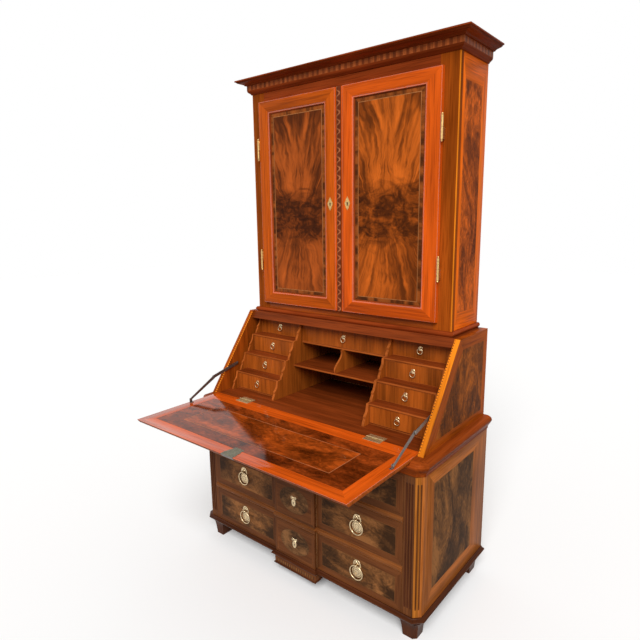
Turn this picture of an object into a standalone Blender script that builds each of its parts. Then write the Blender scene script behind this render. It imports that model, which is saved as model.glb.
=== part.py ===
"""Secretaire cabinet in three tiers: a canted commode, a slant-front desk and a two-door cupboard.

Lengths are metres and +Z points up. The floor is z = 0 and x = 0 runs down the middle. A depth is
measured from the wall behind the cabinet towards the room, and the origin lies midway between the
wall and the front edge of the open writing flap. The flap is modelled open, as it stands in use.
"""
import math

import bmesh
import bpy
from mathutils import Matrix, Vector

# Clearances
SEAT_GAP = 0.0003
SLIDE_GAP = 0.0004
LET_IN = 0.0008

# Feet and base
FOOT_HEIGHT = 0.0800
FOOT_SOLE_HALF = 0.027
FOOT_CANT = 0.013
FOOT_NECK_HALF = 0.033
FOOT_INSET = 0.046
FOOT_WALL_GAP = 0.0005
FOOT_NECK_SHARE = 0.72
BASE_THICKNESS = 0.0255
BASE_LIP = 0.016
BASE_TOP_LIP = 0.003
PLINTH_DROP = 0.034
PLINTH_BEAD = 0.004
PLINTH_FRONT = 0.004
PLINTH_DEPTH = 0.040

# Commode
COMMODE_HALF_WIDTH = 0.579
COMMODE_DEPTH = 0.5655
CORNER_CANT = 0.024
POST_FACE = 0.0455
POST_DEPTH = 0.045
BOARD = 0.020
BREAK_HALF_WIDTH = 0.110
BREAK_DEPTH = 0.014
GROOVE_WIDTH = 0.008
GROOVE_DEPTH = 0.0035
CANT_GROOVE_WIDTH = 0.006
GROOVE_STOP = 0.030
GROOVE_RUNOUT = 0.008
RAIL_DEPTH = 0.060
RAIL_BEAD = 0.005
DUST_BOARD = 0.005
BACK_INSET = 0.003
BACK_THICKNESS = 0.010

# Long drawers, from the bottom one to the top one
LONG_DRAWER_HEIGHTS = (0.1600, 0.1670, 0.1596)
LONG_RAIL_HEIGHTS = (0.0270, 0.0250, 0.0059)
LONG_TOP_GAP = 0.0015
LONG_SIDE_GAP = 0.0015
LONG_FRONT = 0.022
LONG_SIDE = 0.012
LONG_FLOOR = 0.010
LONG_BACK = 0.030

# Commode top
TOP_THICKNESS = 0.0425
TOP_LIP = 0.019
TOP_FOOT_LIP = 0.003
STRIP_HEIGHT = 0.0145
STRIP_INSET = 0.001
STRIP_ROUND = 0.023

# Desk
DESK_INSET = 0.018
DESK_SIDE = 0.0225
DESK_TOP_THICKNESS = 0.018
DESK_RAIL_HEIGHT = 0.0154
DESK_RAIL_DEPTH = 0.050
SIDE_FOOT_OUT = 0.019
SIDE_NOSE = 0.017
BED_THICKNESS = 0.0212
SLANT_DEG = 54.0

# Writing flap
FLAP_AXIS_INSET = 0.0605
FLAP_AXIS_LIFT = 0.0025
FLAP_GAP = 0.0005
FLAP_THICKNESS = 0.018
FLAP_SIDE_GAP = 0.0015
FLAP_TOP_GAP = 0.0035
FLAP_ROUND = 0.005
FLAP_REST_GAP = 0.003

# Flap lock and hinges
LOCK_X = 0.018
LOCK_WIDTH = 0.062
LOCK_REACH = 0.070
PLATE_THICKNESS = 0.001
HINGE_INSET = 0.1895
HINGE_LENGTH = 0.075
HINGE_LEAF = 0.028
HINGE_BARREL = 0.0021
HINGE_STEP = 0.0004
HINGE_LEAF_PROUD = 0.0012
HINGE_CLEAR = 0.0004

# Flap stays
STAY_PIVOT_BACK = 0.1225
STAY_PIVOT_RISE = 0.116
STAY_FLAP_REACH = 0.168
STAY_FLAP_LIFT = 0.0095
STAY_BOW = 0.0185
STAY_THICKNESS = 0.0025
STAY_SPACE = 0.0010
STAY_SIDE_SPACE = 0.0025
STAY_UPPER_HALF = 0.0065
STAY_LOWER_HALF = 0.0042
STAY_EYE = 0.0075
STAY_BOSS = 0.0045
BRACKET_TAB = 0.0030
BRACKET_FOOT = 0.012
BRACKET_HALF = 0.007
BRACKET_PLATE = 0.0015

# Fitted interior of the desk
GALLERY_FLOOR = 0.0050
ROW_HEIGHT = 0.0726
ROW_TOP_GAP = 0.0005
ROW_HEAD_GAP = 0.0038
ROW_STEP_SHARE = 0.9457
ROW_FRONT_INSET = 0.108
ROW_COUNT = 4
SHELF = 0.008
SHELF_NOSE = 0.003
SHELF_HOUSING = 0.003
INNER_UPRIGHT_X = 0.2405
INNER_UPRIGHT = 0.0115
OUTER_UPRIGHT = 0.008
GALLERY_SIDE_SPACE = 0.020
UPRIGHT_FOOT_OUT = 0.038
UPRIGHT_TOP_OUT = 0.006
SMALL_SIDE_GAP = 0.0012
SMALL_FRONT = 0.014
SMALL_SIDE = 0.007
SMALL_FLOOR = 0.006
SMALL_BACK = 0.020
CENTRE_DRAWER_HEIGHT = 0.0830
PIGEONHOLE_SHELF_RISE = 0.1315
PIGEONHOLE_SHELF_INSET = 0.210
DIVIDER_FOOT_INSET = 0.002
DIVIDER_TOP_OUT = 0.017
DIVIDER_BULGE = 0.007

# Cupboard
CUPBOARD_INSET = 0.047
CUPBOARD_FRONT_INSET = 0.0094
CUPBOARD_HEIGHT = 0.9882
CUPBOARD_SIDE = 0.018
CUPBOARD_SHELF = 0.018
CUPBOARD_SHELF_RISE = 0.4812
WAIST_THICKNESS = 0.0202
WAIST_LIP = 0.013
WAIST_EDGE_LIP = 0.006
FRONT_FRAME = 0.022
FRONT_FRAME_LAP = 0.018
CORNICE_FRIEZE_OUT = 0.0165
CORNICE_CROWN_OUT = 0.0565
CORNICE_COVE_HEIGHT = 0.018
CORNICE_BAND_HEIGHT = 0.021
CORNICE_FILLET_HEIGHT = 0.004
CORNICE_CROWN_HEIGHT = 0.012
CORNICE_EDGE = 0.006
CORNICE_STEP = 0.0085
CORNICE_FOOT_OUT = 0.001

# Doors
DOOR_INNER_X = 0.0175
DOOR_SIDE_SPACE = 0.058
DOOR_FOOT_SPACE = 0.0302
DOOR_HEAD_SPACE = 0.042
DOOR_BACK_GAP = 0.0018
DOOR_THICKNESS = 0.0182
DOOR_ROUND = 0.003
DOOR_HINGE_STILE = 0.069
DOOR_MEETING_STILE = 0.061
DOOR_RAIL = 0.058
DOOR_BEVEL = 0.008
DOOR_PANEL_SINK = 0.007
DOOR_PANEL_BACK = 0.003
ASTRAGAL_GAP = 0.0010
ASTRAGAL_PROUD = 0.004
ASTRAGAL_SIDE = 0.006

# Door hinges and key plates
BARREL_RADIUS = 0.0048
BARREL_HALF = 0.050
BARREL_TURN = 0.0002
BARREL_CLEAR = 0.0007
BARREL_PROUD = 0.002
BARREL_FINIAL = 0.009
BARREL_RISE = 0.205
BARREL_DROP = 0.207
LEAF_THICKNESS = 0.0016
LEAF_WIDTH = 0.0165
LEAF_DOOR_DEPTH = 0.013
LEAF_PROUD = 0.0010
LEAF_INSET = 0.0003
KEY_INSET = 0.0275
KEY_RISE = 0.456
KEY_HALF_WIDTH = 0.014
KEY_HALF_HEIGHT = 0.029
KEY_THICKNESS = 0.0016

# Ring pulls of the long drawers
PULL_INSET = 0.1975
PULL_DROP = 0.004
PULL_RING = 0.029
PULL_TUBE = 0.0025
PULL_STAND = 0.0070
PULL_BOSS = 0.019
PULL_BOSS_HEIGHT = 0.0035
PULL_STRAP_HALF = 0.007
PULL_STRAP_THICKNESS = 0.0014
PULL_EYE_WALL = 0.0022
PULL_EYE_HALF = 0.0024
PULL_BOW_WIDTH = 0.018
PULL_BOW_RISE = 0.024
PULL_BOW_BAND = 0.008
PULL_BOW_THICKNESS = 0.0026
PULL_CLEAR = 0.0006
LONG_KEY_DROP = 0.008
LONG_KEY_HALF_WIDTH = 0.011
LONG_KEY_HALF_HEIGHT = 0.017
LONG_KEY_BOW = 0.011

# Ring pulls of the small drawers
KNOB_RING = 0.0115
KNOB_TUBE = 0.0015
KNOB_STAND = 0.0056
KNOB_PLATE = 0.0095
KNOB_PLATE_HEIGHT = 0.0012
KNOB_RIM = 0.0006
KNOB_EYE_WALL = 0.0014
KNOB_EYE_HALF = 0.0020
KNOB_RISE = 0.0085
KNOB_CLEAR = 0.0005

# Counts and shares
RING_SEGMENTS = 22
RING_SIDES = 6
SMALL_RING_SEGMENTS = 16
SMALL_RING_SIDES = 5
TURN_STEPS = 16
SMALL_TURN_STEPS = 12
BARREL_STEPS = 12
UPRIGHT_STEPS = 6
ARC_STEPS = 6
BOW_STEPS = 20
GROOVE_SHARES = (0.31, 0.66)
GROOVE_EDGE_SHARES = (-0.5, -0.25, 0.25, 0.5)
GROOVE_FALL_SHARES = (0.0, 1.0, 1.0, 0.0)
RAIL_SHARES = ((0.0, 0.0), (0.0, 0.16), (1.0, 0.3), (1.0, 0.7), (0.0, 0.84), (0.0, 1.0))
BASE_SHARES = ((0.15, 0.0), (0.15, 0.2), (1.0, 0.36), (1.0, 0.6), (0.0, 1.0))
TOP_SHARES = ((0.0, 0.0), (0.04, 0.2), (0.35, 0.44), (0.72, 0.66), (0.96, 0.86), (1.0, 1.0))
SCALLOP_SHARE = 0.97
LOCK_LIP_SHARE = 0.7
BOW_START_DEG = -20.0
BOW_ARC_DEG = 220.0
HINGE_CURL_DEG = 250.0
KEY_LOBES = 4
RIBBON_LOBES = 3
TORUS_SHARES = ((0.0, 0.0), (0.35, 0.16), (0.75, 0.38), (1.0, 0.62), (0.85, 0.86), (0.5, 1.0))
CYMA_SHARES = ((0.0, 0.0), (0.20, 0.18), (0.42, 0.36), (0.75, 0.55), (0.92, 0.78), (1.0, 1.0))
CROWN_SHARES = ((0.0, 0.0), (0.12, 0.22), (0.34, 0.48), (0.62, 0.70), (1.0, 1.0))
BOW_WAIST_SHARE = 0.55
BOSS_SHARES = ((1.0, 0.0), (1.0, 0.45), (0.86, 0.62), (0.72, 0.40), (0.34, 0.62), (0.12, 1.0))
FINIAL_SHARES = ((1.0, 0.0), (0.55, 0.15), (0.95, 0.50), (0.75, 0.85), (0.10, 1.0))

# Commode worked out from the sizes above, from the floor up
BASE_TOP_Z = FOOT_HEIGHT + BASE_THICKNESS
DRAWER_STACK = sum(LONG_DRAWER_HEIGHTS) + sum(LONG_RAIL_HEIGHTS)
DRAWER_GAPS = len(LONG_DRAWER_HEIGHTS) * (SLIDE_GAP + LONG_TOP_GAP)
COMMODE_TOP_Z = BASE_TOP_Z + DRAWER_STACK + DRAWER_GAPS + SEAT_GAP
TOP_SURFACE_Z = COMMODE_TOP_Z + TOP_THICKNESS
FOOT_TOP_HALF = FOOT_INSET - FOOT_WALL_GAP
POST_INNER_X = COMMODE_HALF_WIDTH - CORNER_CANT - POST_FACE
PULL_X = POST_INNER_X - PULL_INSET

# Desk and writing flap
SLANT = math.radians(SLANT_DEG)
DESK_HALF_WIDTH = COMMODE_HALF_WIDTH - DESK_INSET
DESK_INNER_X = DESK_HALF_WIDTH - DESK_SIDE
BED_Z = TOP_SURFACE_Z + SEAT_GAP + BED_THICKNESS
ROW_PITCH = SLIDE_GAP + ROW_HEIGHT + ROW_TOP_GAP + SHELF
ROW_STEP = ROW_STEP_SHARE * ROW_PITCH / math.tan(SLANT)
ROWS_TOP_Z = BED_Z + GALLERY_FLOOR + SLIDE_GAP + (ROW_COUNT - 1) * ROW_PITCH + ROW_HEIGHT
GALLERY_TOP_Z = ROWS_TOP_Z + ROW_HEAD_GAP
DESK_TOP_Z = GALLERY_TOP_Z + SEAT_GAP + DESK_RAIL_HEIGHT + DESK_TOP_THICKNESS
FLAP_AXIS_DEPTH = COMMODE_DEPTH - FLAP_AXIS_INSET
FLAP_AXIS_Z = BED_Z + FLAP_AXIS_LIFT
FLAP_LENGTH = (DESK_TOP_Z - FLAP_TOP_GAP - FLAP_AXIS_Z - FLAP_AXIS_LIFT * math.cos(SLANT)) / math.sin(SLANT)
FLAP_FRONT_DEPTH = FLAP_AXIS_DEPTH + FLAP_LENGTH
OVERALL_DEPTH = FLAP_FRONT_DEPTH + PLATE_THICKNESS
SIDE_FOOT_DEPTH = FLAP_AXIS_DEPTH + SIDE_FOOT_OUT
HINGE_X = DESK_INNER_X - HINGE_INSET
STAY_PIVOT_DEPTH = FLAP_AXIS_DEPTH - STAY_PIVOT_BACK
STAY_PIVOT_Z = FLAP_AXIS_Z + STAY_PIVOT_RISE
STAY_UPPER_X = DESK_INNER_X - STAY_SIDE_SPACE - STAY_THICKNESS
STAY_LOWER_X = STAY_UPPER_X - STAY_SPACE - STAY_THICKNESS
ROW_FRONT_DEPTH = FLAP_AXIS_DEPTH - ROW_FRONT_INSET
OUTER_UPRIGHT_X = DESK_INNER_X - GALLERY_SIDE_SPACE - OUTER_UPRIGHT
PIGEONHOLE_SHELF_Z = BED_Z + PIGEONHOLE_SHELF_RISE
PIGEONHOLE_SHELF_DEPTH = FLAP_AXIS_DEPTH - PIGEONHOLE_SHELF_INSET
DIVIDER_FOOT_DEPTH = PIGEONHOLE_SHELF_DEPTH - DIVIDER_FOOT_INSET
DIVIDER_TOP_DEPTH = ROW_FRONT_DEPTH - (ROW_COUNT - 1) * ROW_STEP + DIVIDER_TOP_OUT

# Cupboard, cornice and doors
FLAP_RISE = DESK_TOP_Z - FLAP_AXIS_Z
DESK_TOP_DEPTH = FLAP_AXIS_DEPTH + FLAP_AXIS_LIFT / math.sin(SLANT) - FLAP_RISE / math.tan(SLANT)
CUPBOARD_HALF_WIDTH = DESK_HALF_WIDTH - CUPBOARD_INSET
CUPBOARD_DEPTH = DESK_TOP_DEPTH - CUPBOARD_FRONT_INSET
CUPBOARD_Z = DESK_TOP_Z + SEAT_GAP + WAIST_THICKNESS + SEAT_GAP
CUPBOARD_SHELF_Z = CUPBOARD_Z + CUPBOARD_SHELF_RISE
CORNICE_Z = CUPBOARD_Z + CUPBOARD_HEIGHT
CORNICE_BAND_Z = CORNICE_Z + CORNICE_COVE_HEIGHT
CORNICE_BAND_TOP_Z = CORNICE_BAND_Z + CORNICE_BAND_HEIGHT
CORNICE_CROWN_Z = CORNICE_BAND_TOP_Z + CORNICE_FILLET_HEIGHT
TOTAL_HEIGHT = CORNICE_CROWN_Z + CORNICE_CROWN_HEIGHT + CORNICE_EDGE
DOOR_OUTER_X = CUPBOARD_HALF_WIDTH - DOOR_SIDE_SPACE
DOOR_BOTTOM_Z = CUPBOARD_Z + DOOR_FOOT_SPACE
DOOR_TOP_Z = CORNICE_Z - DOOR_HEAD_SPACE
FRONT_STILE = DOOR_SIDE_SPACE + FRONT_FRAME_LAP
FRONT_RAIL_BOTTOM_Z = DOOR_BOTTOM_Z + FRONT_FRAME_LAP
FRONT_RAIL_TOP_Z = DOOR_TOP_Z - FRONT_FRAME_LAP
DOOR_BACK_DEPTH = CUPBOARD_DEPTH + DOOR_BACK_GAP
DOOR_FRONT_DEPTH = DOOR_BACK_DEPTH + DOOR_THICKNESS
BARREL_X = DOOR_OUTER_X + BARREL_CLEAR + BARREL_RADIUS
BARREL_DEPTH = DOOR_FRONT_DEPTH + BARREL_PROUD
BARREL_HEIGHTS = (DOOR_BOTTOM_Z + BARREL_RISE, DOOR_TOP_Z - BARREL_DROP)
KEY_X = DOOR_INNER_X + KEY_INSET
KEY_Z = DOOR_BOTTOM_Z + KEY_RISE


def y_at(depth):
    """World y of a depth measured from the wall."""
    return OVERALL_DEPTH / 2 - depth


def material(name, colour, roughness, metallic=0.0):
    """A plain Principled surface."""
    paint = bpy.data.materials.new(name)
    paint.use_nodes = True
    shader = paint.node_tree.nodes["Principled BSDF"]
    shader.inputs["Base Color"].default_value = (*colour, 1.0)
    shader.inputs["Roughness"].default_value = roughness
    shader.inputs["Metallic"].default_value = metallic
    return paint


def link_mesh(name, bm, pivot, parent):
    """Turn a bmesh in world places into a named object whose origin stands on its pivot."""
    bmesh.ops.recalc_face_normals(bm, faces=bm.faces)
    bmesh.ops.translate(bm, verts=bm.verts, vec=-Vector(pivot))
    mesh = bpy.data.meshes.new(name)
    bm.to_mesh(mesh)
    bm.free()
    piece = bpy.data.objects.new(name, mesh)
    bpy.context.collection.objects.link(piece)
    piece.parent = parent
    piece.location = local_place(pivot, parent)
    return piece


def local_place(place, parent):
    """A world place as a location under a parent."""
    offset = Vector(place)
    while parent is not None:
        offset = offset - parent.location
        parent = parent.parent
    return offset


def add_object(name, bm, paint, pivot=(0, 0, 0), parent=None, fittings=None):
    """Make a piece; fittings are shapes let into it, which a Boolean union joins to it."""
    piece = link_mesh(name, bm, pivot, parent)
    piece.data.materials.append(paint)
    if fittings is not None:
        guide = link_mesh(name + "_fittings", fittings, pivot, parent)
        guide.hide_render = True
        guide.display_type = "WIRE"
        join = piece.modifiers.new("fittings", "BOOLEAN")
        join.operation = "UNION"
        join.solver = "EXACT"
        join.use_self = True
        join.object = guide
    return piece


def add_pivot(name, place, parent=None):
    """An empty on a joint axis, which carries the pieces that move together."""
    pivot = bpy.data.objects.new(name, None)
    bpy.context.collection.objects.link(pivot)
    pivot.parent = parent
    pivot.location = local_place(place, parent)
    return pivot


def add_box(bm, low, high):
    """A box between two corners given as (x, depth, z)."""
    x0, x1 = sorted((low[0], high[0]))
    size = Vector((x1 - x0, high[1] - low[1], high[2] - low[2]))
    centre = Vector(((x0 + x1) / 2, y_at((low[1] + high[1]) / 2), (low[2] + high[2]) / 2))
    place = Matrix.Translation(centre) @ Matrix.Diagonal((*size, 1))
    bmesh.ops.create_cube(bm, size=1, matrix=place)


def add_loft(bm, sections, closed=False):
    """Skin a row of matching outlines; cap both ends, or join them where the row is closed."""
    rows = [[bm.verts.new(point) for point in section] for section in sections]
    pairs = list(zip(rows, rows[1:]))
    if closed:
        pairs.append((rows[-1], rows[0]))
    for low, high in pairs:
        for i, vert in enumerate(low):
            j = (i + 1) % len(low)
            bm.faces.new((vert, low[j], high[j], high[i]))
    if not closed:
        bm.faces.new(rows[0])
        bm.faces.new(rows[-1])


def add_profile_across(bm, outline, x0, x1):
    """Extrude an outline of (depth, z) points from x0 to x1."""
    face = bm.faces.new([bm.verts.new((x0, y_at(depth), z)) for depth, z in outline])
    grown = bmesh.ops.extrude_face_region(bm, geom=[face])["geom"]
    moved = [item for item in grown if isinstance(item, bmesh.types.BMVert)]
    bmesh.ops.translate(bm, verts=moved, vec=(x1 - x0, 0, 0))


def add_profile_forward(bm, outline, depth0, depth1):
    """Extrude an outline of (x, z) points from one depth to another."""
    face = bm.faces.new([bm.verts.new((x, y_at(depth0), z)) for x, z in outline])
    grown = bmesh.ops.extrude_face_region(bm, geom=[face])["geom"]
    moved = [item for item in grown if isinstance(item, bmesh.types.BMVert)]
    bmesh.ops.translate(bm, verts=moved, vec=(0, depth0 - depth1, 0))


def add_plan_stack(bm, plan, profile):
    """Loft a plan outline, which widens by the first value of each (out, z) pair of the profile."""
    add_loft(bm, [[(x, y_at(depth), z) for x, depth in plan(out)] for out, z in profile])


def add_tray(bm, outer, inner, z_low, z_high, z_floor):
    """An open-topped box from an outer and an inner plan outline."""
    levels = ((outer, z_low), (outer, z_high), (inner, z_high), (inner, z_floor))
    add_loft(bm, [[(x, y_at(depth), z) for x, depth in plan] for plan, z in levels])


def add_turned(bm, profile, steps, centre):
    """Turn (radius, forward) points about an axis that points into the room."""
    x, depth, z = centre
    sections = []
    for radius, forward in profile:
        circle = [2 * math.pi * i / steps for i in range(steps)]
        sections.append([(x + radius * math.cos(a), y_at(depth + forward), z + radius * math.sin(a))
                         for a in circle])
    add_loft(bm, sections)


def add_ring(bm, centre, ring, tube, segments, sides):
    """A hanging ring that faces the room."""
    x, depth, z = centre
    sections = []
    for i in range(segments):
        turn = 2 * math.pi * i / segments
        section = []
        for j in range(sides):
            around = 2 * math.pi * j / sides
            reach = ring + tube * math.cos(around)
            section.append((x + reach * math.sin(turn), y_at(depth + tube * math.sin(around)),
                            z + reach * math.cos(turn)))
        sections.append(section)
    add_loft(bm, sections, closed=True)


def scaled(shares, width, height):
    """Sizes from a table of shares."""
    return [(a * width, b * height) for a, b in shares]


def slant_depth(z):
    """Depth of the inner face of the closed flap at a height."""
    return FLAP_AXIS_DEPTH + FLAP_AXIS_LIFT / math.sin(SLANT) - (z - FLAP_AXIS_Z) / math.tan(SLANT)


def commode_plan(out):
    """Plan of the commode: canted front corners and a centre that stands forward."""
    wide = COMMODE_HALF_WIDTH + out
    front = COMMODE_DEPTH + out
    cant = CORNER_CANT + out * (2 - math.sqrt(2))
    half = [(wide, 0), (wide, front - cant), (wide - cant, front),
            (BREAK_HALF_WIDTH + out, front), (BREAK_HALF_WIDTH + out, front + BREAK_DEPTH)]
    return half + [(-x, depth) for x, depth in reversed(half)]


def strip_plan(out):
    """Plan of the strip beside and in front of one desk side, on the commode top."""
    wide = COMMODE_HALF_WIDTH + out
    front = COMMODE_DEPTH + out
    cant = CORNER_CANT + out * (2 - math.sqrt(2))
    inner = DESK_HALF_WIDTH + SEAT_GAP
    stop = SIDE_FOOT_DEPTH + SEAT_GAP
    return [(inner, 0), (wide, 0), (wide, front - cant), (wide - cant, front), (DESK_INNER_X, front),
            (DESK_INNER_X, stop), (inner, stop)]


def rail_plan(out):
    """Plan of a drawer rail between the corner posts; only its front widens."""
    wide = POST_INNER_X - SEAT_GAP
    front = COMMODE_DEPTH + out
    half = [(wide, COMMODE_DEPTH - RAIL_DEPTH), (wide, front), (BREAK_HALF_WIDTH + out, front),
            (BREAK_HALF_WIDTH + out, front + BREAK_DEPTH)]
    return half + [(-x, depth) for x, depth in reversed(half)]


def plinth_plan(out):
    """Plan of the block under the centre of the commode."""
    wide = BREAK_HALF_WIDTH + out
    front = COMMODE_DEPTH + BREAK_DEPTH + out
    back = COMMODE_DEPTH + BREAK_DEPTH - PLINTH_DEPTH
    return [(wide, back), (wide, front), (-wide, front), (-wide, back)]


def cupboard_plan(out):
    """Plan of the cupboard, with its back against the wall."""
    wide = CUPBOARD_HALF_WIDTH + out
    return [(wide, 0), (wide, CUPBOARD_DEPTH + out), (-wide, CUPBOARD_DEPTH + out), (-wide, 0)]


def side_section(depth_of_groove, side, z):
    """Plan of a commode side and its corner post, grooved in the front and canted faces, at one height."""
    x0 = POST_INNER_X
    x1 = COMMODE_HALF_WIDTH - CORNER_CANT
    back = COMMODE_DEPTH - POST_DEPTH
    board_x = COMMODE_HALF_WIDTH - BOARD
    points = [(board_x, 0), (board_x, back), (x0, back), (x0, COMMODE_DEPTH)]
    for share in GROOVE_SHARES:
        middle = x0 + share * POST_FACE
        points += groove((middle, COMMODE_DEPTH), (1, 0), (0, -1), GROOVE_WIDTH, depth_of_groove)
    points.append((x1, COMMODE_DEPTH))
    slope = math.sqrt(2) / 2
    for share in GROOVE_SHARES:
        middle = (x1 + share * CORNER_CANT, COMMODE_DEPTH - share * CORNER_CANT)
        points += groove(middle, (slope, -slope), (-slope, -slope), CANT_GROOVE_WIDTH, depth_of_groove)
    points += [(COMMODE_HALF_WIDTH, COMMODE_DEPTH - CORNER_CANT), (COMMODE_HALF_WIDTH, 0)]
    return [(side * x, y_at(depth), z) for x, depth in points]


def groove(middle, along, inward, width, sink):
    """Four points of a shallow round groove across a face."""
    points = []
    for share, fall in zip(GROOVE_EDGE_SHARES, GROOVE_FALL_SHARES):
        points.append((middle[0] + along[0] * share * width + inward[0] * fall * sink,
                       middle[1] + along[1] * share * width + inward[1] * fall * sink))
    return points


def add_foot(bm, side, forward):
    """A bracket foot that flares into the base; the front ones are canted like the corners."""
    middle_x = COMMODE_HALF_WIDTH - FOOT_INSET
    middle_depth = COMMODE_DEPTH - FOOT_INSET if forward > 0 else FOOT_INSET
    cant = FOOT_CANT if forward > 0 else 0
    levels = ((FOOT_SOLE_HALF, 0), (FOOT_NECK_HALF, FOOT_HEIGHT * FOOT_NECK_SHARE),
              ((FOOT_NECK_HALF + FOOT_TOP_HALF) / 2, FOOT_HEIGHT * (1 + FOOT_NECK_SHARE) / 2),
              (FOOT_TOP_HALF, FOOT_HEIGHT + LET_IN))
    sections = []
    for half, z in levels:
        plan = [(-half, -half), (half, -half), (half, half - cant), (half - cant, half), (-half, half)]
        if not cant:
            plan = [(-half, -half), (half, -half), (half, half), (-half, half)]
        sections.append([(side * (middle_x + x), y_at(middle_depth + depth), z) for x, depth in plan])
    add_loft(bm, sections)


def commode(paints):
    """Boards, posts, drawer frames, base and top of the chest that carries everything."""
    low = BASE_TOP_Z + SEAT_GAP
    high = COMMODE_TOP_Z - SEAT_GAP
    for side, word in ((-1, "left"), (1, "right")):
        bm = bmesh.new()
        levels = ((0, low), (0, low + GROOVE_STOP), (GROOVE_DEPTH, low + GROOVE_STOP + GROOVE_RUNOUT),
                  (GROOVE_DEPTH, high - GROOVE_STOP - GROOVE_RUNOUT), (0, high - GROOVE_STOP), (0, high))
        add_loft(bm, [side_section(sink, side, z) for sink, z in levels])
        add_object("commode_side_" + word, bm, paints["golden"])

    bm = bmesh.new()
    add_plan_stack(bm, commode_plan, [
        (BASE_TOP_LIP + out, FOOT_HEIGHT + up)
        for out, up in scaled(BASE_SHARES, BASE_LIP - BASE_TOP_LIP, BASE_THICKNESS)])
    fittings = bmesh.new()
    plinth_low = FOOT_HEIGHT - PLINTH_DROP
    add_plan_stack(fittings, plinth_plan, [
        (PLINTH_FRONT, plinth_low), (PLINTH_FRONT + PLINTH_BEAD, plinth_low + PLINTH_BEAD),
        (PLINTH_FRONT, plinth_low + 2 * PLINTH_BEAD), (PLINTH_FRONT, FOOT_HEIGHT + LET_IN)])
    for side in (-1, 1):
        for forward in (-1, 1):
            add_foot(fittings, side, forward)
    add_object("base_and_feet", bm, paints["dark"], fittings=fittings)

    for word, (z_low, z_high) in zip(("lower", "middle"), rail_levels()):
        bm = bmesh.new()
        add_drawer_rail(bm, z_low, z_high)
        board_x = COMMODE_HALF_WIDTH - BOARD - SEAT_GAP
        fittings = bmesh.new()
        add_box(fittings, (-board_x, BACK_INSET + BACK_THICKNESS + SEAT_GAP, z_high - DUST_BOARD),
                (board_x, COMMODE_DEPTH - POST_DEPTH - SEAT_GAP, z_high))
        add_object("drawer_frame_" + word, bm, paints["walnut"], fittings=fittings)

    bm = bmesh.new()
    add_plan_stack(bm, top_plan, [
        (TOP_FOOT_LIP + out, COMMODE_TOP_Z + up)
        for out, up in scaled(TOP_SHARES, TOP_LIP - TOP_FOOT_LIP, TOP_THICKNESS)])
    fittings = bmesh.new()
    for side in (-1, 1):
        sections = [[(side * x, y_at(depth), TOP_SURFACE_Z - LET_IN)
                     for x, depth in strip_plan(TOP_LIP - STRIP_INSET)]]
        for i in range(1, ARC_STEPS + 1):
            turn = math.pi / 2 * i / ARC_STEPS
            out = TOP_LIP - STRIP_INSET - STRIP_ROUND * (1 - math.cos(turn))
            z = TOP_SURFACE_Z + STRIP_HEIGHT * math.sin(turn)
            sections.append([(side * x, y_at(depth), z) for x, depth in strip_plan(out)])
        add_loft(fittings, sections)
    top_rail_low = rail_levels()[-1][0]
    add_drawer_rail(fittings, top_rail_low, COMMODE_TOP_Z + LET_IN)
    add_object("commode_top", bm, paints["walnut"], fittings=fittings)


def add_drawer_rail(bm, z_low, z_high):
    """A rail across the front above a drawer, with a bead along its face."""
    add_plan_stack(bm, rail_plan, [
        (out, z_low + up) for out, up in scaled(RAIL_SHARES, RAIL_BEAD, z_high - z_low)])


def rail_levels():
    """Bottom and top of each rail above a long drawer."""
    levels = []
    z = BASE_TOP_Z + SLIDE_GAP
    for height, rail in zip(LONG_DRAWER_HEIGHTS, LONG_RAIL_HEIGHTS):
        low = z + height + LONG_TOP_GAP
        high = low + rail
        levels.append((low, high))
        z = high + SLIDE_GAP
    return levels


def long_drawer_floors():
    """Height of the underside of each long drawer."""
    return [BASE_TOP_Z + SLIDE_GAP] + [high + SLIDE_GAP for low, high in rail_levels()[:-1]]


def top_plan(out):
    """Plan of the commode's top board, cut back between the sides for the back board."""
    wide = COMMODE_HALF_WIDTH - BOARD
    notch = BACK_INSET + BACK_THICKNESS + SEAT_GAP
    return commode_plan(out) + [(-wide, 0), (-wide, notch), (wide, notch), (wide, 0)]


def lower_back(paints):
    """One back board for the commode and the desk, narrower behind the desk."""
    wide = COMMODE_HALF_WIDTH - BOARD - SEAT_GAP
    slim = DESK_INNER_X - SEAT_GAP
    low = BASE_TOP_Z + SEAT_GAP
    high = DESK_TOP_Z - DESK_TOP_THICKNESS - SEAT_GAP
    outline = [(-wide, low), (wide, low), (wide, TOP_SURFACE_Z), (slim, TOP_SURFACE_Z), (slim, high),
               (-slim, high), (-slim, TOP_SURFACE_Z), (-wide, TOP_SURFACE_Z)]
    bm = bmesh.new()
    add_profile_forward(bm, outline, BACK_INSET, BACK_INSET + BACK_THICKNESS)
    add_object("commode_and_desk_back", bm, paints["pine"])


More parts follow.
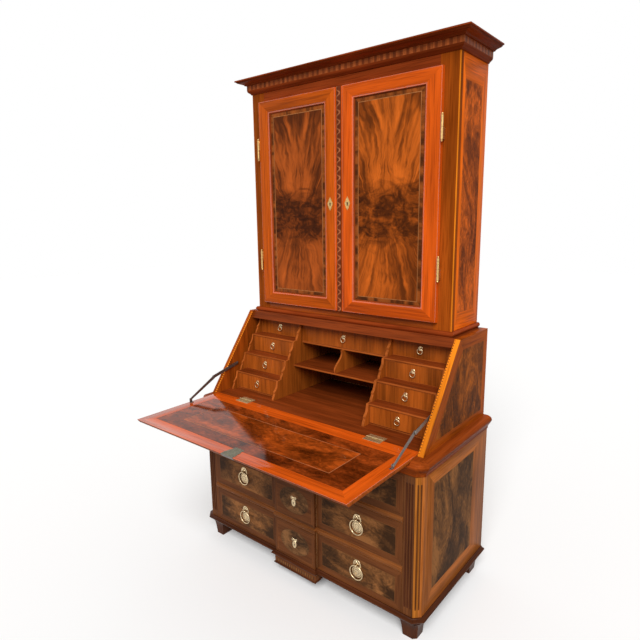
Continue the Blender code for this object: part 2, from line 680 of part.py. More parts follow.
def desk_shell(paints):
    """Slanted sides, writing bed, and the top board with the rail over the small drawers."""
    foot = TOP_SURFACE_Z + SEAT_GAP
    nose = foot + SIDE_NOSE
    top_depth = SIDE_FOOT_DEPTH - (DESK_TOP_Z - nose) / math.tan(SLANT)
    outline = [(0, foot), (SIDE_FOOT_DEPTH, foot), (SIDE_FOOT_DEPTH, nose), (top_depth, DESK_TOP_Z),
               (0, DESK_TOP_Z)]
    for side, word in ((-1, "left"), (1, "right")):
        bm = bmesh.new()
        add_profile_across(bm, outline, side * DESK_INNER_X, side * DESK_HALF_WIDTH)
        add_object("desk_side_" + word, bm, paints["golden"])

    wide = DESK_INNER_X - SEAT_GAP
    behind = BACK_INSET + BACK_THICKNESS + SEAT_GAP
    bm = bmesh.new()
    add_box(bm, (-wide, behind, foot), (wide, FLAP_AXIS_DEPTH - FLAP_GAP, BED_Z))
    fittings = bmesh.new()
    for side in (-1, 1):
        add_flap_hinge(fittings, side * HINGE_X, -1)
    add_object("writing_bed", bm, paints["walnut"], fittings=fittings)

    low = DESK_TOP_Z - DESK_TOP_THICKNESS
    rail_low = low - DESK_RAIL_HEIGHT
    rail_front = slant_depth(rail_low) - FLAP_REST_GAP
    rail_back = rail_front - DESK_RAIL_DEPTH
    bm = bmesh.new()
    add_profile_across(bm, [(0, low), (rail_back, low), (rail_back, rail_low), (rail_front, rail_low),
                            (slant_depth(DESK_TOP_Z) - FLAP_REST_GAP, DESK_TOP_Z), (0, DESK_TOP_Z)],
                       -wide, wide)
    fittings = bmesh.new()
    waist = scaled(TORUS_SHARES, WAIST_LIP - WAIST_EDGE_LIP, WAIST_THICKNESS)
    add_plan_stack(fittings, cupboard_plan, [(WAIST_EDGE_LIP, DESK_TOP_Z - LET_IN)] + [
        (WAIST_EDGE_LIP + out, DESK_TOP_Z + SEAT_GAP + up) for out, up in waist])
    add_object("desk_top_and_waist", bm, paints["walnut"], fittings=fittings)


def row_floor(row):
    """Underside of a small drawer, counting rows from the writing bed up."""
    return BED_Z + GALLERY_FLOOR + SLIDE_GAP + row * ROW_PITCH


def row_front(row):
    """Depth of the front of a small drawer."""
    return ROW_FRONT_DEPTH - row * ROW_STEP


def upright_outline(top):
    """Scalloped front edge that steps back at each row, closed along the wall side."""
    back = BACK_INSET + BACK_THICKNESS + SEAT_GAP
    outline = [(back, BED_Z + SEAT_GAP)]
    for row in range(ROW_COUNT):
        low = row_floor(row) - SLIDE_GAP if row else BED_Z + SEAT_GAP
        high = top if row == ROW_COUNT - 1 else row_floor(row + 1) - SLIDE_GAP
        for i in range(UPRIGHT_STEPS):
            share = i / (UPRIGHT_STEPS - 1)
            swing = (1 + math.cos(math.pi * share)) / 2
            out = UPRIGHT_TOP_OUT + (UPRIGHT_FOOT_OUT - UPRIGHT_TOP_OUT) * swing
            rise = low + (high - low) * share * SCALLOP_SHARE
            outline.append((row_front(row) + out, rise))
    outline.append((row_front(ROW_COUNT - 1), top))
    outline.append((back, top))
    return outline


def desk_gallery(paints):
    """The drawer case inside the desk: uprights, stepped shelves, pigeonhole shelf and divider."""
    outline = upright_outline(GALLERY_TOP_Z)
    bm = bmesh.new()
    for side in (-1, 1):
        add_profile_across(bm, outline, side * INNER_UPRIGHT_X, side * (INNER_UPRIGHT_X + INNER_UPRIGHT))
        add_profile_across(bm, outline, side * OUTER_UPRIGHT_X, side * (OUTER_UPRIGHT_X + OUTER_UPRIGHT))

    back = BACK_INSET + BACK_THICKNESS + SEAT_GAP
    fittings = bmesh.new()
    for side in (-1, 1):
        inner = INNER_UPRIGHT_X + INNER_UPRIGHT - SHELF_HOUSING
        outer = OUTER_UPRIGHT_X + SHELF_HOUSING
        add_box(fittings, (side * inner, back + SHELF_HOUSING, BED_Z + SEAT_GAP),
                (side * outer, row_front(0) + SHELF_NOSE, row_floor(0) - SLIDE_GAP))
        for row in range(1, ROW_COUNT):
            high = row_floor(row) - SLIDE_GAP
            add_box(fittings, (side * inner, back + SHELF_HOUSING, high - SHELF),
                    (side * outer, row_front(row - 1) + SHELF_NOSE, high))
    wide = INNER_UPRIGHT_X + SHELF_HOUSING
    drawer_shelf = centre_drawer_floor() - SLIDE_GAP
    add_box(fittings, (-wide, back + SHELF_HOUSING, drawer_shelf - SHELF),
            (wide, row_front(ROW_COUNT - 1), drawer_shelf))
    add_box(fittings, (-wide, back + SHELF_HOUSING, PIGEONHOLE_SHELF_Z),
            (wide, PIGEONHOLE_SHELF_DEPTH, PIGEONHOLE_SHELF_Z + SHELF))
    low = PIGEONHOLE_SHELF_Z + SHELF - LET_IN
    high = drawer_shelf - SHELF + LET_IN
    edge = [(back + 2 * SHELF_HOUSING, low)]
    for i in range(2 * ARC_STEPS + 1):
        share = i / (2 * ARC_STEPS)
        swing = (1 + math.cos(math.pi * share)) / 2
        bulge = DIVIDER_BULGE * math.sin(2 * math.pi * share)
        depth = DIVIDER_TOP_DEPTH + (DIVIDER_FOOT_DEPTH - DIVIDER_TOP_DEPTH) * swing + bulge
        edge.append((depth, low + (high - low) * share))
    edge.append((back + 2 * SHELF_HOUSING, high))
    add_profile_across(fittings, edge, -SHELF / 2, SHELF / 2)
    add_object("desk_gallery", bm, paints["walnut"], fittings=fittings)


def centre_drawer_floor():
    """Underside of the wide drawer over the pigeonholes."""
    return row_floor(ROW_COUNT - 1) + ROW_HEIGHT - CENTRE_DRAWER_HEIGHT


def cupboard(paints):
    """Case of two sides and a front frame with the fixed hinge halves, back with its shelf, and cornice."""
    high = CORNICE_Z - SEAT_GAP
    frame_back = CUPBOARD_DEPTH - FRONT_FRAME
    wide = CUPBOARD_HALF_WIDTH - CUPBOARD_SIDE - SEAT_GAP
    bm = bmesh.new()
    add_box(bm, (-wide, BACK_INSET, CUPBOARD_Z), (wide, BACK_INSET + BACK_THICKNESS, high))
    fittings = bmesh.new()
    add_box(fittings, (-wide, BACK_INSET + BACK_THICKNESS - LET_IN, CUPBOARD_SHELF_Z),
            (wide, frame_back - SEAT_GAP, CUPBOARD_SHELF_Z + CUPBOARD_SHELF))
    add_object("cupboard_back_and_shelf", bm, paints["pine"], fittings=fittings)

    outer = (CUPBOARD_HALF_WIDTH, CUPBOARD_Z, high)
    inner = (CUPBOARD_HALF_WIDTH - FRONT_STILE, FRONT_RAIL_BOTTOM_Z, FRONT_RAIL_TOP_Z)
    levels = ((outer, frame_back), (outer, CUPBOARD_DEPTH), (inner, CUPBOARD_DEPTH), (inner, frame_back))
    bm = bmesh.new()
    add_loft(bm, [[(-x, y_at(depth), z0), (x, y_at(depth), z0), (x, y_at(depth), z1), (-x, y_at(depth), z1)]
                  for (x, z0, z1), depth in levels], closed=True)
    fittings = bmesh.new()
    for side in (-1, 1):
        add_box(fittings, (side * (CUPBOARD_HALF_WIDTH - CUPBOARD_SIDE), 0, CUPBOARD_Z),
                (side * CUPBOARD_HALF_WIDTH, frame_back + LET_IN, high))
        for middle in BARREL_HEIGHTS:
            door_hinge_half(fittings, side, middle, False)
    add_object("cupboard_case", bm, paints["walnut"], fittings=fittings)

    bm = bmesh.new()
    cyma = scaled(CYMA_SHARES, CORNICE_FRIEZE_OUT - CORNICE_FOOT_OUT, CORNICE_COVE_HEIGHT)
    profile = [(CORNICE_FOOT_OUT + out, CORNICE_Z + up) for out, up in cyma]
    crown_foot = CORNICE_FRIEZE_OUT + CORNICE_STEP
    crown = scaled(CROWN_SHARES, CORNICE_CROWN_OUT - crown_foot, CORNICE_CROWN_HEIGHT)
    profile += [(CORNICE_FRIEZE_OUT, CORNICE_BAND_TOP_Z), (crown_foot, CORNICE_BAND_TOP_Z)]
    profile += [(crown_foot + out, CORNICE_CROWN_Z + up) for out, up in crown]
    profile.append((CORNICE_CROWN_OUT, TOTAL_HEIGHT))
    add_plan_stack(bm, cupboard_plan, profile)
    add_object("cornice", bm, paints["dark"])


def lobed_plate(centre_x, centre_z, half_width, half_height, lobes):
    """Outline of a small pierced-looking plate with soft lobes."""
    points = []
    for i in range(BOW_STEPS):
        turn = 2 * math.pi * i / BOW_STEPS
        pull = BOW_WAIST_SHARE + (1 - BOW_WAIST_SHARE) * math.cos(lobes * (turn - math.pi / 2) / 2) ** 2
        points.append((centre_x + half_width * pull * math.cos(turn),
                       centre_z + half_height * pull * math.sin(turn)))
    return points


def hinge_outline(on_door):
    """Barrel and leaf of one hinge half, as (outward, forward) from the hinge axis."""
    if on_door:
        outer = BARREL_X - DOOR_OUTER_X + LET_IN
        inner = outer - LEAF_THICKNESS
        leaf = [(-outer, 0), (-outer, -LEAF_DOOR_DEPTH), (-inner, -LEAF_DOOR_DEPTH)]
        last = math.pi
    else:
        outer = BARREL_RADIUS - LEAF_INSET
        inner = outer - LEAF_PROUD
        tail = CUPBOARD_DEPTH - LET_IN - BARREL_DEPTH
        rest = CUPBOARD_DEPTH + LEAF_PROUD - BARREL_DEPTH
        wing = BARREL_RADIUS + LEAF_WIDTH
        leaf = [(-outer, rest), (-wing, rest), (-wing, tail), (-inner, tail)]
        last = math.pi + math.acos(outer / BARREL_RADIUS)
    first = math.acos(inner / BARREL_RADIUS) - math.pi
    round_part = []
    for i in range(BARREL_STEPS + 1):
        turn = first + (last - first) * i / BARREL_STEPS
        round_part.append((BARREL_RADIUS * math.cos(turn), BARREL_RADIUS * math.sin(turn)))
    return round_part + leaf


def door_hinge_half(bm, side, middle, on_door):
    """One half of a lift-off barrel hinge, with the finial at its end."""
    way = 1 if on_door else -1
    start = middle + way * BARREL_TURN
    end = middle + way * (BARREL_HALF - BARREL_FINIAL)
    add_loft(bm, [[(side * (BARREL_X + x), y_at(BARREL_DEPTH + forward), z)
                   for x, forward in hinge_outline(on_door)] for z in (start, end)])
    finial_z = end - way * LET_IN
    sections = []
    for radius, up in scaled(FINIAL_SHARES, BARREL_RADIUS, BARREL_FINIAL):
        circle = [2 * math.pi * i / BARREL_STEPS for i in range(BARREL_STEPS)]
        sections.append([(side * (BARREL_X + radius * math.cos(a)), y_at(BARREL_DEPTH + radius * math.sin(a)),
                          finial_z + way * up) for a in circle])
    add_loft(bm, sections)


def doors(paints):
    """Two framed doors with their hinge halves and key plates."""
    for side, word in ((-1, "left"), (1, "right")):
        pivot_place = (side * BARREL_X, y_at(BARREL_DEPTH), DOOR_BOTTOM_Z)
        pivot = add_pivot("door_" + word + "_pivot", pivot_place)
        x_out = DOOR_OUTER_X
        x_in = DOOR_INNER_X
        hole_out = DOOR_OUTER_X - DOOR_HINGE_STILE
        hole_in = DOOR_INNER_X + DOOR_MEETING_STILE
        z0 = DOOR_BOTTOM_Z
        z1 = DOOR_TOP_Z
        hole_z0 = DOOR_BOTTOM_Z + DOOR_RAIL
        hole_z1 = DOOR_TOP_Z - DOOR_RAIL
        sink = DOOR_FRONT_DEPTH - DOOR_PANEL_SINK
        levels = (
            (x_in, x_out, z0, z1, DOOR_BACK_DEPTH),
            (x_in, x_out, z0, z1, DOOR_FRONT_DEPTH - DOOR_ROUND),
            (x_in + DOOR_ROUND, x_out - DOOR_ROUND, z0 + DOOR_ROUND, z1 - DOOR_ROUND, DOOR_FRONT_DEPTH),
            (hole_in - DOOR_BEVEL, hole_out + DOOR_BEVEL, hole_z0 - DOOR_BEVEL, hole_z1 + DOOR_BEVEL,
             DOOR_FRONT_DEPTH),
            (hole_in, hole_out, hole_z0, hole_z1, sink),
            (hole_in, hole_out, hole_z0, hole_z1, DOOR_BACK_DEPTH),
        )
        bm = bmesh.new()
        add_loft(bm, [[(side * a, y_at(depth), low), (side * b, y_at(depth), low),
                       (side * b, y_at(depth), high), (side * a, y_at(depth), high)]
                      for a, b, low, high, depth in levels], closed=True)
        fittings = bmesh.new()
        for middle in BARREL_HEIGHTS:
            door_hinge_half(fittings, side, middle, True)
        plate = lobed_plate(side * KEY_X, KEY_Z, KEY_HALF_WIDTH, KEY_HALF_HEIGHT, KEY_LOBES)
        add_profile_forward(fittings, plate, DOOR_FRONT_DEPTH - LET_IN, DOOR_FRONT_DEPTH + KEY_THICKNESS)
        if side < 0:
            add_astragal(fittings)
        add_object("door_" + word + "_frame", bm, paints["cherry"], pivot_place, pivot, fittings)

        bm = bmesh.new()
        add_box(bm, (side * (hole_in + SEAT_GAP), DOOR_BACK_DEPTH + DOOR_PANEL_BACK, hole_z0 + SEAT_GAP),
                (side * (hole_out - SEAT_GAP), sink - SEAT_GAP, hole_z1 - SEAT_GAP))
        add_object("door_" + word + "_panel", bm, paints["burl"], pivot_place, pivot)


def add_astragal(bm):
    """The bead glued to the left door's inner edge, which covers the gap between the doors."""
    near = -DOOR_INNER_X - LET_IN
    far = DOOR_INNER_X - ASTRAGAL_GAP
    middle = (far - DOOR_INNER_X) / 2
    reach = (far + DOOR_INNER_X) / 2 - ASTRAGAL_SIDE
    back = DOOR_BACK_DEPTH + SEAT_GAP
    front = DOOR_FRONT_DEPTH - ASTRAGAL_PROUD
    outline = [(near, back), (near, front)]
    for i in range(ARC_STEPS + 1):
        turn = math.pi - math.pi * i / ARC_STEPS
        outline.append((middle + reach * math.cos(turn), front + 2 * ASTRAGAL_PROUD * math.sin(turn)))
    outline += [(far, front), (far, back)]
    levels = (DOOR_BOTTOM_Z + SEAT_GAP, DOOR_TOP_Z - SEAT_GAP)
    add_loft(bm, [[(x, y_at(depth), z) for x, depth in outline] for z in levels])


def add_flap_hinge(bm, centre, way):
    """One leaf of a flap hinge: way is -1 on the writing bed and 1 on the flap."""
    edge = HINGE_BARREL + HINGE_CLEAR
    flat = []
    curled = []
    for i in range(ARC_STEPS + 1):
        turn = math.radians(HINGE_CURL_DEG) * i / ARC_STEPS - math.pi / 2
        curled.append((-HINGE_BARREL * math.cos(turn), FLAP_AXIS_LIFT + HINGE_BARREL * math.sin(turn)))
        flat.append((edge, (HINGE_LEAF_PROUD + LET_IN) * (i + 1) / (ARC_STEPS + 2) - LET_IN))
    foot = [(HINGE_LEAF, -LET_IN), (edge, -LET_IN)]
    crest = [(edge, HINGE_LEAF_PROUD), (HINGE_LEAF, HINGE_LEAF_PROUD)]
    knuckle = foot + curled + crest
    plain = foot + flat + crest
    half = HINGE_LENGTH / 2
    third = HINGE_LENGTH / 6
    if way < 0:
        stations = ((-half, knuckle), (-third - HINGE_STEP, knuckle), (-third, plain), (third, plain),
                    (third + HINGE_STEP, knuckle), (half, knuckle))
    else:
        stations = ((-half, plain), (-third, plain), (-third + HINGE_STEP, knuckle),
                    (third - HINGE_STEP, knuckle), (third, plain), (half, plain))
    add_loft(bm, [[(centre + x, y_at(FLAP_AXIS_DEPTH + way * reach), BED_Z + up) for reach, up in outline]
                  for x, outline in stations])


def flap(paints):
    """Writing flap with its lock, hinge leaves and stay brackets; returns the pivot that carries them."""
    axis = (0, y_at(FLAP_AXIS_DEPTH), FLAP_AXIS_Z)
    pivot = add_pivot("flap_pivot", axis)
    half = DESK_INNER_X - FLAP_SIDE_GAP
    low = BED_Z - FLAP_THICKNESS
    back = FLAP_AXIS_DEPTH + FLAP_GAP
    lean = 1 / math.tan(SLANT)
    levels = ((FLAP_ROUND, low), (0, low + FLAP_ROUND), (0, BED_Z))
    sections = []
    for inset, z in levels:
        front = FLAP_FRONT_DEPTH - (BED_Z - z) * lean - inset
        wide = half - inset
        sections.append([(-wide, y_at(back), z), (wide, y_at(back), z), (wide, y_at(front), z),
                         (-wide, y_at(front), z)])
    bm = bmesh.new()
    add_loft(bm, sections)
    fittings = bmesh.new()
    x0 = LOCK_X - LOCK_WIDTH / 2
    drop = FLAP_THICKNESS * LOCK_LIP_SHARE
    sunk = FLAP_FRONT_DEPTH - LET_IN
    lip = FLAP_FRONT_DEPTH + PLATE_THICKNESS
    start = FLAP_FRONT_DEPTH - LOCK_REACH
    add_profile_across(fittings, [
        (start, BED_Z - LET_IN), (sunk, BED_Z - LET_IN), (sunk - drop * lean, BED_Z - drop),
        (lip - drop * lean, BED_Z - drop), (lip, BED_Z), (lip, BED_Z + PLATE_THICKNESS),
        (start, BED_Z + PLATE_THICKNESS)], x0, x0 + LOCK_WIDTH)
    for side in (-1, 1):
        tab_out = side * (STAY_LOWER_X - SEAT_GAP)
        tab_in = side * (STAY_LOWER_X - SEAT_GAP - BRACKET_TAB)
        foot_in = side * (STAY_LOWER_X - SEAT_GAP - BRACKET_FOOT)
        reach = FLAP_AXIS_DEPTH + STAY_FLAP_REACH
        top = FLAP_AXIS_Z + STAY_FLAP_LIFT + BRACKET_HALF
        outline = [(foot_in, BED_Z - LET_IN), (tab_out, BED_Z - LET_IN), (tab_out, top), (tab_in, top),
                   (tab_in, BED_Z + BRACKET_PLATE), (foot_in, BED_Z + BRACKET_PLATE)]
        add_profile_forward(fittings, outline, reach - BRACKET_HALF, reach + BRACKET_HALF)
        add_flap_hinge(fittings, side * HINGE_X, 1)
    add_object("flap", bm, paints["cherry"], axis, pivot, fittings)
    return pivot


def stay_places():
    """Side pivot, elbow and flap pivot of the open stay, as (depth, z), and the leaf length."""
    top = (STAY_PIVOT_DEPTH, STAY_PIVOT_Z)
    end = (FLAP_AXIS_DEPTH + STAY_FLAP_REACH, FLAP_AXIS_Z + STAY_FLAP_LIFT)
    run = end[0] - top[0]
    fall = top[1] - end[1]
    span = math.hypot(run, fall)
    elbow = ((top[0] + end[0]) / 2 + STAY_BOW * fall / span, (top[1] + end[1]) / 2 + STAY_BOW * run / span)
    return top, elbow, end


def add_stay_leaf(bm, start, end, wide_start, wide_end, x0, x1):
    """A flat leaf with a round eye at each end, drawn in the depth and height plane."""
    run = end[0] - start[0]
    rise = end[1] - start[1]
    heading = math.atan2(rise, run)
    outline = []
    for centre, radius, turn in ((start, wide_start, math.pi / 2), (end, wide_end, -math.pi / 2)):
        for i in range(ARC_STEPS + 1):
            angle = heading + turn + math.pi * i / ARC_STEPS
            outline.append((centre[0] + radius * math.cos(angle), centre[1] + radius * math.sin(angle)))
    add_profile_across(bm, outline, x0, x1)


def add_boss(bm, centre, radius, x0, x1):
    """A round washer between a leaf and its neighbour."""
    outline = [(centre[0] + radius * math.cos(2 * math.pi * i / BARREL_STEPS),
                centre[1] + radius * math.sin(2 * math.pi * i / BARREL_STEPS)) for i in range(BARREL_STEPS)]
    add_profile_across(bm, outline, x0, x1)


def stays(paints, flap_pivot):
    """Folding steel stays: an upper leaf on each desk side and a lower leaf on the flap."""
    top, elbow, end = stay_places()
    for side, word in ((-1, "left"), (1, "right")):
        upper_in = side * STAY_UPPER_X
        upper_out = side * (STAY_UPPER_X + STAY_THICKNESS)
        bm = bmesh.new()
        add_stay_leaf(bm, top, elbow, STAY_UPPER_HALF, STAY_EYE, upper_in, upper_out)
        fittings = bmesh.new()
        add_boss(fittings, top, STAY_BOSS, upper_out - side * LET_IN, side * (DESK_INNER_X - SEAT_GAP))
        add_boss(fittings, elbow, STAY_BOSS, side * (STAY_LOWER_X + STAY_THICKNESS + SEAT_GAP),
                 upper_in + side * LET_IN)
        add_object("stay_upper_" + word, bm, paints["steel"], (upper_in, y_at(top[0]), top[1]),
                   fittings=fittings)

        lower_in = side * STAY_LOWER_X
        lower_out = side * (STAY_LOWER_X + STAY_THICKNESS)
        bm = bmesh.new()
        add_stay_leaf(bm, end, elbow, STAY_LOWER_HALF, STAY_EYE, lower_in, lower_out)
        add_object("stay_lower_" + word, bm, paints["steel"], (lower_in, y_at(end[0]), end[1]), flap_pivot)


def add_staple(bm, centre, seat, tube, clear, wall, half):
    """A U-shaped staple round the top of a ring, with both legs let into the seat behind it."""
    x, depth, z = centre
    hole = tube + clear
    outline = [(seat, z + hole + wall)]
    for radius, way in ((hole + wall, 1), (hole, -1)):
        for i in range(ARC_STEPS + 1):
            turn = (math.pi / 2 - math.pi * i / ARC_STEPS) * way
            outline.append((depth + radius * math.cos(turn), z + radius * math.sin(turn)))
        if way > 0:
            outline += [(seat, z - radius), (seat, z - hole)]
    outline.append((seat, z + hole))
    add_profile_across(bm, outline, x - half, x + half)


def bow_outline(x, z):
    """Ribbon bow over a pull: an arch that stands clear of the staple."""
    outline = []
    for band, way in ((0, 1), (PULL_BOW_BAND, -1)):
        for i in range(BOW_STEPS // 2 + 1):
            share = i / (BOW_STEPS // 2)
            share = share if way > 0 else 1 - share
            turn = math.radians(BOW_START_DEG + BOW_ARC_DEG * share)
            outline.append((x + (PULL_BOW_WIDTH - band) * math.cos(turn),
                            z + (PULL_BOW_RISE - band) * math.sin(turn)))
    return outline


def long_drawers(paints):
    """Three long drawers, each with a key plate on its centre block and two ring pulls."""
    wide = POST_INNER_X - LONG_SIDE_GAP
    inner_wide = wide - LONG_SIDE
    front = COMMODE_DEPTH
    step = BREAK_HALF_WIDTH
    outer = [(wide, LONG_BACK), (wide, front), (step, front), (step / 2, front), (-step / 2, front),
             (-step, front), (-wide, front), (-wide, LONG_BACK)]
    face = front - LONG_FRONT
    back = LONG_BACK + LONG_SIDE
    inner = [(inner_wide, back), (inner_wide, face), (step, face), (step / 2, face),
             (-step / 2, face), (-step, face), (-inner_wide, face), (-inner_wide, back)]
    words = ("bottom", "middle", "top")
    for word, floor, height in zip(words, long_drawer_floors(), LONG_DRAWER_HEIGHTS):
        place = (0, y_at(front), floor)
        pivot = add_pivot("long_drawer_" + word + "_slide", place)
        bm = bmesh.new()
        add_tray(bm, outer, inner, floor, floor + height, floor + LONG_FLOOR)
        add_object("long_drawer_" + word, bm, paints["walnut"], place, pivot)

        bm = bmesh.new()
        block = front + BREAK_DEPTH
        add_box(bm, (-step, front + SEAT_GAP, floor), (step, block, floor + height))
        fittings = bmesh.new()
        key_z = floor + height / 2 - LONG_KEY_DROP
        oval = [(LONG_KEY_HALF_WIDTH * math.cos(2 * math.pi * i / TURN_STEPS),
                 key_z + LONG_KEY_HALF_HEIGHT * math.sin(2 * math.pi * i / TURN_STEPS))
                for i in range(TURN_STEPS)]
        add_profile_forward(fittings, oval, block - LET_IN, block + PULL_BOW_THICKNESS)
        ribbon_z = key_z + LONG_KEY_HALF_HEIGHT + LONG_KEY_BOW
        ribbon = lobed_plate(0, ribbon_z, LONG_KEY_BOW, LONG_KEY_BOW, RIBBON_LOBES)
        add_profile_forward(fittings, ribbon, block - LET_IN, block + PULL_BOW_THICKNESS)
        add_object("centre_block_" + word, bm, paints["walnut"], place, pivot, fittings)

        for side, hand in ((-1, "left"), (1, "right")):
            large_pull(paints, word + "_" + hand, side * PULL_X, floor + height / 2 - PULL_DROP, pivot)


def large_pull(paints, words, x, ring_z, pivot):
    """A round plate with a ribbon bow and a staple, and the ring that hangs in the staple."""
    seat = COMMODE_DEPTH + SEAT_GAP
    eye_z = ring_z + PULL_RING
    bm = bmesh.new()
    add_turned(bm, scaled(BOSS_SHARES, PULL_BOSS, PULL_BOSS_HEIGHT), TURN_STEPS, (x, seat, ring_z))
    fittings = bmesh.new()
    strap_low = ring_z + PULL_BOSS - PULL_BOW_BAND / 2
    strap_high = eye_z + PULL_BOW_RISE - PULL_BOW_BAND / 2
    strap = [(x - PULL_STRAP_HALF, strap_low), (x + PULL_STRAP_HALF, strap_low),
             (x + PULL_STRAP_HALF, strap_high), (x - PULL_STRAP_HALF, strap_high)]
    add_profile_forward(fittings, strap, seat + LET_IN / 2, seat + PULL_STRAP_THICKNESS)
    add_profile_forward(fittings, bow_outline(x, eye_z), seat, seat + PULL_BOW_THICKNESS)
    add_staple(fittings, (x, COMMODE_DEPTH + PULL_STAND, eye_z), seat + LET_IN, PULL_TUBE, PULL_CLEAR,
               PULL_EYE_WALL, PULL_EYE_HALF)
    add_object("pull_plate_" + words, bm, paints["brass"], (x, y_at(seat), eye_z), pivot, fittings)

    bm = bmesh.new()
    add_ring(bm, (x, COMMODE_DEPTH + PULL_STAND, ring_z), PULL_RING, PULL_TUBE, RING_SEGMENTS, RING_SIDES)
    add_object("ring_" + words, bm, paints["brass"], (x, y_at(COMMODE_DEPTH + PULL_STAND), eye_z), pivot)


def small_drawer(paints, name, x0, x1, floor, height, front):
    """A small drawer with a round brass plate, a staple and a hanging ring."""
    middle = (x0 + x1) / 2
    place = (middle, y_at(front), floor)
    pivot = add_pivot(name + "_slide", place)
    outer = [(x1, SMALL_BACK), (x1, front), (x0, front), (x0, SMALL_BACK)]
    inner = [(x1 - SMALL_SIDE, SMALL_BACK + SMALL_SIDE), (x1 - SMALL_SIDE, front - SMALL_FRONT),
             (x0 + SMALL_SIDE, front - SMALL_FRONT), (x0 + SMALL_SIDE, SMALL_BACK + SMALL_SIDE)]
    eye_z = floor + height / 2 + KNOB_RISE
    ring_z = eye_z - KNOB_RING
    bm = bmesh.new()
    add_tray(bm, outer, inner, floor, floor + height, floor + SMALL_FLOOR)
    fittings = bmesh.new()
    plate = [(KNOB_PLATE, -LET_IN), (KNOB_PLATE, KNOB_PLATE_HEIGHT / 2),
             (KNOB_PLATE - KNOB_RIM, KNOB_PLATE_HEIGHT)]
    add_turned(fittings, plate, SMALL_TURN_STEPS, (middle, front, eye_z))
    eye_depth = front + KNOB_STAND
    add_staple(fittings, (middle, eye_depth, eye_z), front - LET_IN, KNOB_TUBE, KNOB_CLEAR, KNOB_EYE_WALL,
               KNOB_EYE_HALF)
    add_object(name, bm, paints["small"], place, pivot, fittings)
    bm = bmesh.new()
    add_ring(bm, (middle, eye_depth, ring_z), KNOB_RING, KNOB_TUBE, SMALL_RING_SEGMENTS, SMALL_RING_SIDES)
    add_object(name + "_ring", bm, paints["brass"], (middle, y_at(eye_depth), eye_z), pivot)


def small_drawers(paints):
    """Four stepped drawers on each side and the wide one in the middle."""
    near = INNER_UPRIGHT_X + INNER_UPRIGHT + SMALL_SIDE_GAP
    far = OUTER_UPRIGHT_X - SMALL_SIDE_GAP
    for row in range(ROW_COUNT):
        for side, word in ((-1, "left"), (1, "right")):
            x0, x1 = sorted((side * near, side * far))
            name = "small_drawer_" + word + "_" + str(row + 1)
            small_drawer(paints, name, x0, x1, row_floor(row), ROW_HEIGHT, row_front(row))
    wide = INNER_UPRIGHT_X - SMALL_SIDE_GAP
    small_drawer(paints, "small_drawer_centre", -wide, wide, centre_drawer_floor(), CENTRE_DRAWER_HEIGHT,
                 row_front(ROW_COUNT - 1))


def build():
    """Clear the scene and build the whole cabinet."""
    for old in list(bpy.data.objects):
        bpy.data.objects.remove(old, do_unlink=True)
    paints = {
        "walnut": material("walnut", (0.20, 0.075, 0.028), 0.28),
        "burl": material("burl_walnut", (0.23, 0.085, 0.025), 0.22),
        "cherry": material("cherry", (0.58, 0.16, 0.025), 0.22),
        "golden": material("golden_walnut", (0.42, 0.17, 0.04), 0.28),
        "dark": material("dark_walnut", (0.11, 0.03, 0.014), 0.30),
        "small": material("drawer_walnut", (0.34, 0.12, 0.03), 0.28),
        "pine": material("pine", (0.55, 0.36, 0.18), 0.60),
        "brass": material("brass", (0.80, 0.62, 0.34), 0.30, 1.0),
        "steel": material("steel", (0.35, 0.33, 0.30), 0.40, 1.0),
    }
    commode(paints)
    lower_back(paints)
    desk_shell(paints)
    desk_gallery(paints)
    cupboard(paints)
    doors(paints)
    flap_pivot = flap(paints)
    stays(paints, flap_pivot)
    long_drawers(paints)
    small_drawers(paints)
    bpy.context.view_layer.update()


build()
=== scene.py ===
"""Veneers, mouldings and brass of the secretaire cabinet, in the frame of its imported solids."""
import math

import bmesh
import bpy
from bpy.props import FloatProperty, FloatVectorProperty, IntProperty, PointerProperty
from mathutils import Matrix, Vector


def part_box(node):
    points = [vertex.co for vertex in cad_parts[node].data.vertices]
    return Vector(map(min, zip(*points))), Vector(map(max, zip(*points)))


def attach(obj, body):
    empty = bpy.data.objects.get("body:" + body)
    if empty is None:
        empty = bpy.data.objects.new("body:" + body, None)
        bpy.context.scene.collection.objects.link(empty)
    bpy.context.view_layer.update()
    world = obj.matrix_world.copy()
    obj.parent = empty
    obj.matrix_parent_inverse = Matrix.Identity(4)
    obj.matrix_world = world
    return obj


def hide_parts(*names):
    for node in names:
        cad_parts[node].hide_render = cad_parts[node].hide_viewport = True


bl_info = {
    "name": "Secretaire Cabinet Dresser",
    "version": (1, 0, 0),
    "blender": (4, 5, 0),
    "location": "View3D > Sidebar > Secretaire",
    "description": "Dresses the packed secretaire cabinet in veneer, mouldings and brass",
    "category": "Object",
}

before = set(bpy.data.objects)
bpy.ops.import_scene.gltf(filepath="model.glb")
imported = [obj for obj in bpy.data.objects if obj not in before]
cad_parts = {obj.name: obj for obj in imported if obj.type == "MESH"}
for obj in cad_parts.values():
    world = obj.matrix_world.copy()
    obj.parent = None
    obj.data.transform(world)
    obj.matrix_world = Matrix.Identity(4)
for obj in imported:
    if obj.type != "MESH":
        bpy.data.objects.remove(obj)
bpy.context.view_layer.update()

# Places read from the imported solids
WALL_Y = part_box("commode_side_left")[1].y
COMMODE_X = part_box("commode_side_right")[1].x
POST_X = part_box("commode_side_right")[0].x
FRONT_DEPTH = WALL_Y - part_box("commode_side_right")[0].y
BASE_TOP_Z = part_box("commode_side_right")[0].z
COMMODE_TOP_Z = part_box("commode_side_right")[1].z
CUPBOARD_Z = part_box("cupboard_case")[0].z
CORNICE_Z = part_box("cornice")[0].z
SIDES = ((-1, "left"), (1, "right"))
LONG_WORDS = ("bottom", "middle", "top")
ROWS = (1, 2, 3, 4)
ACROSS = 0
DEEP = 1
UP = 2
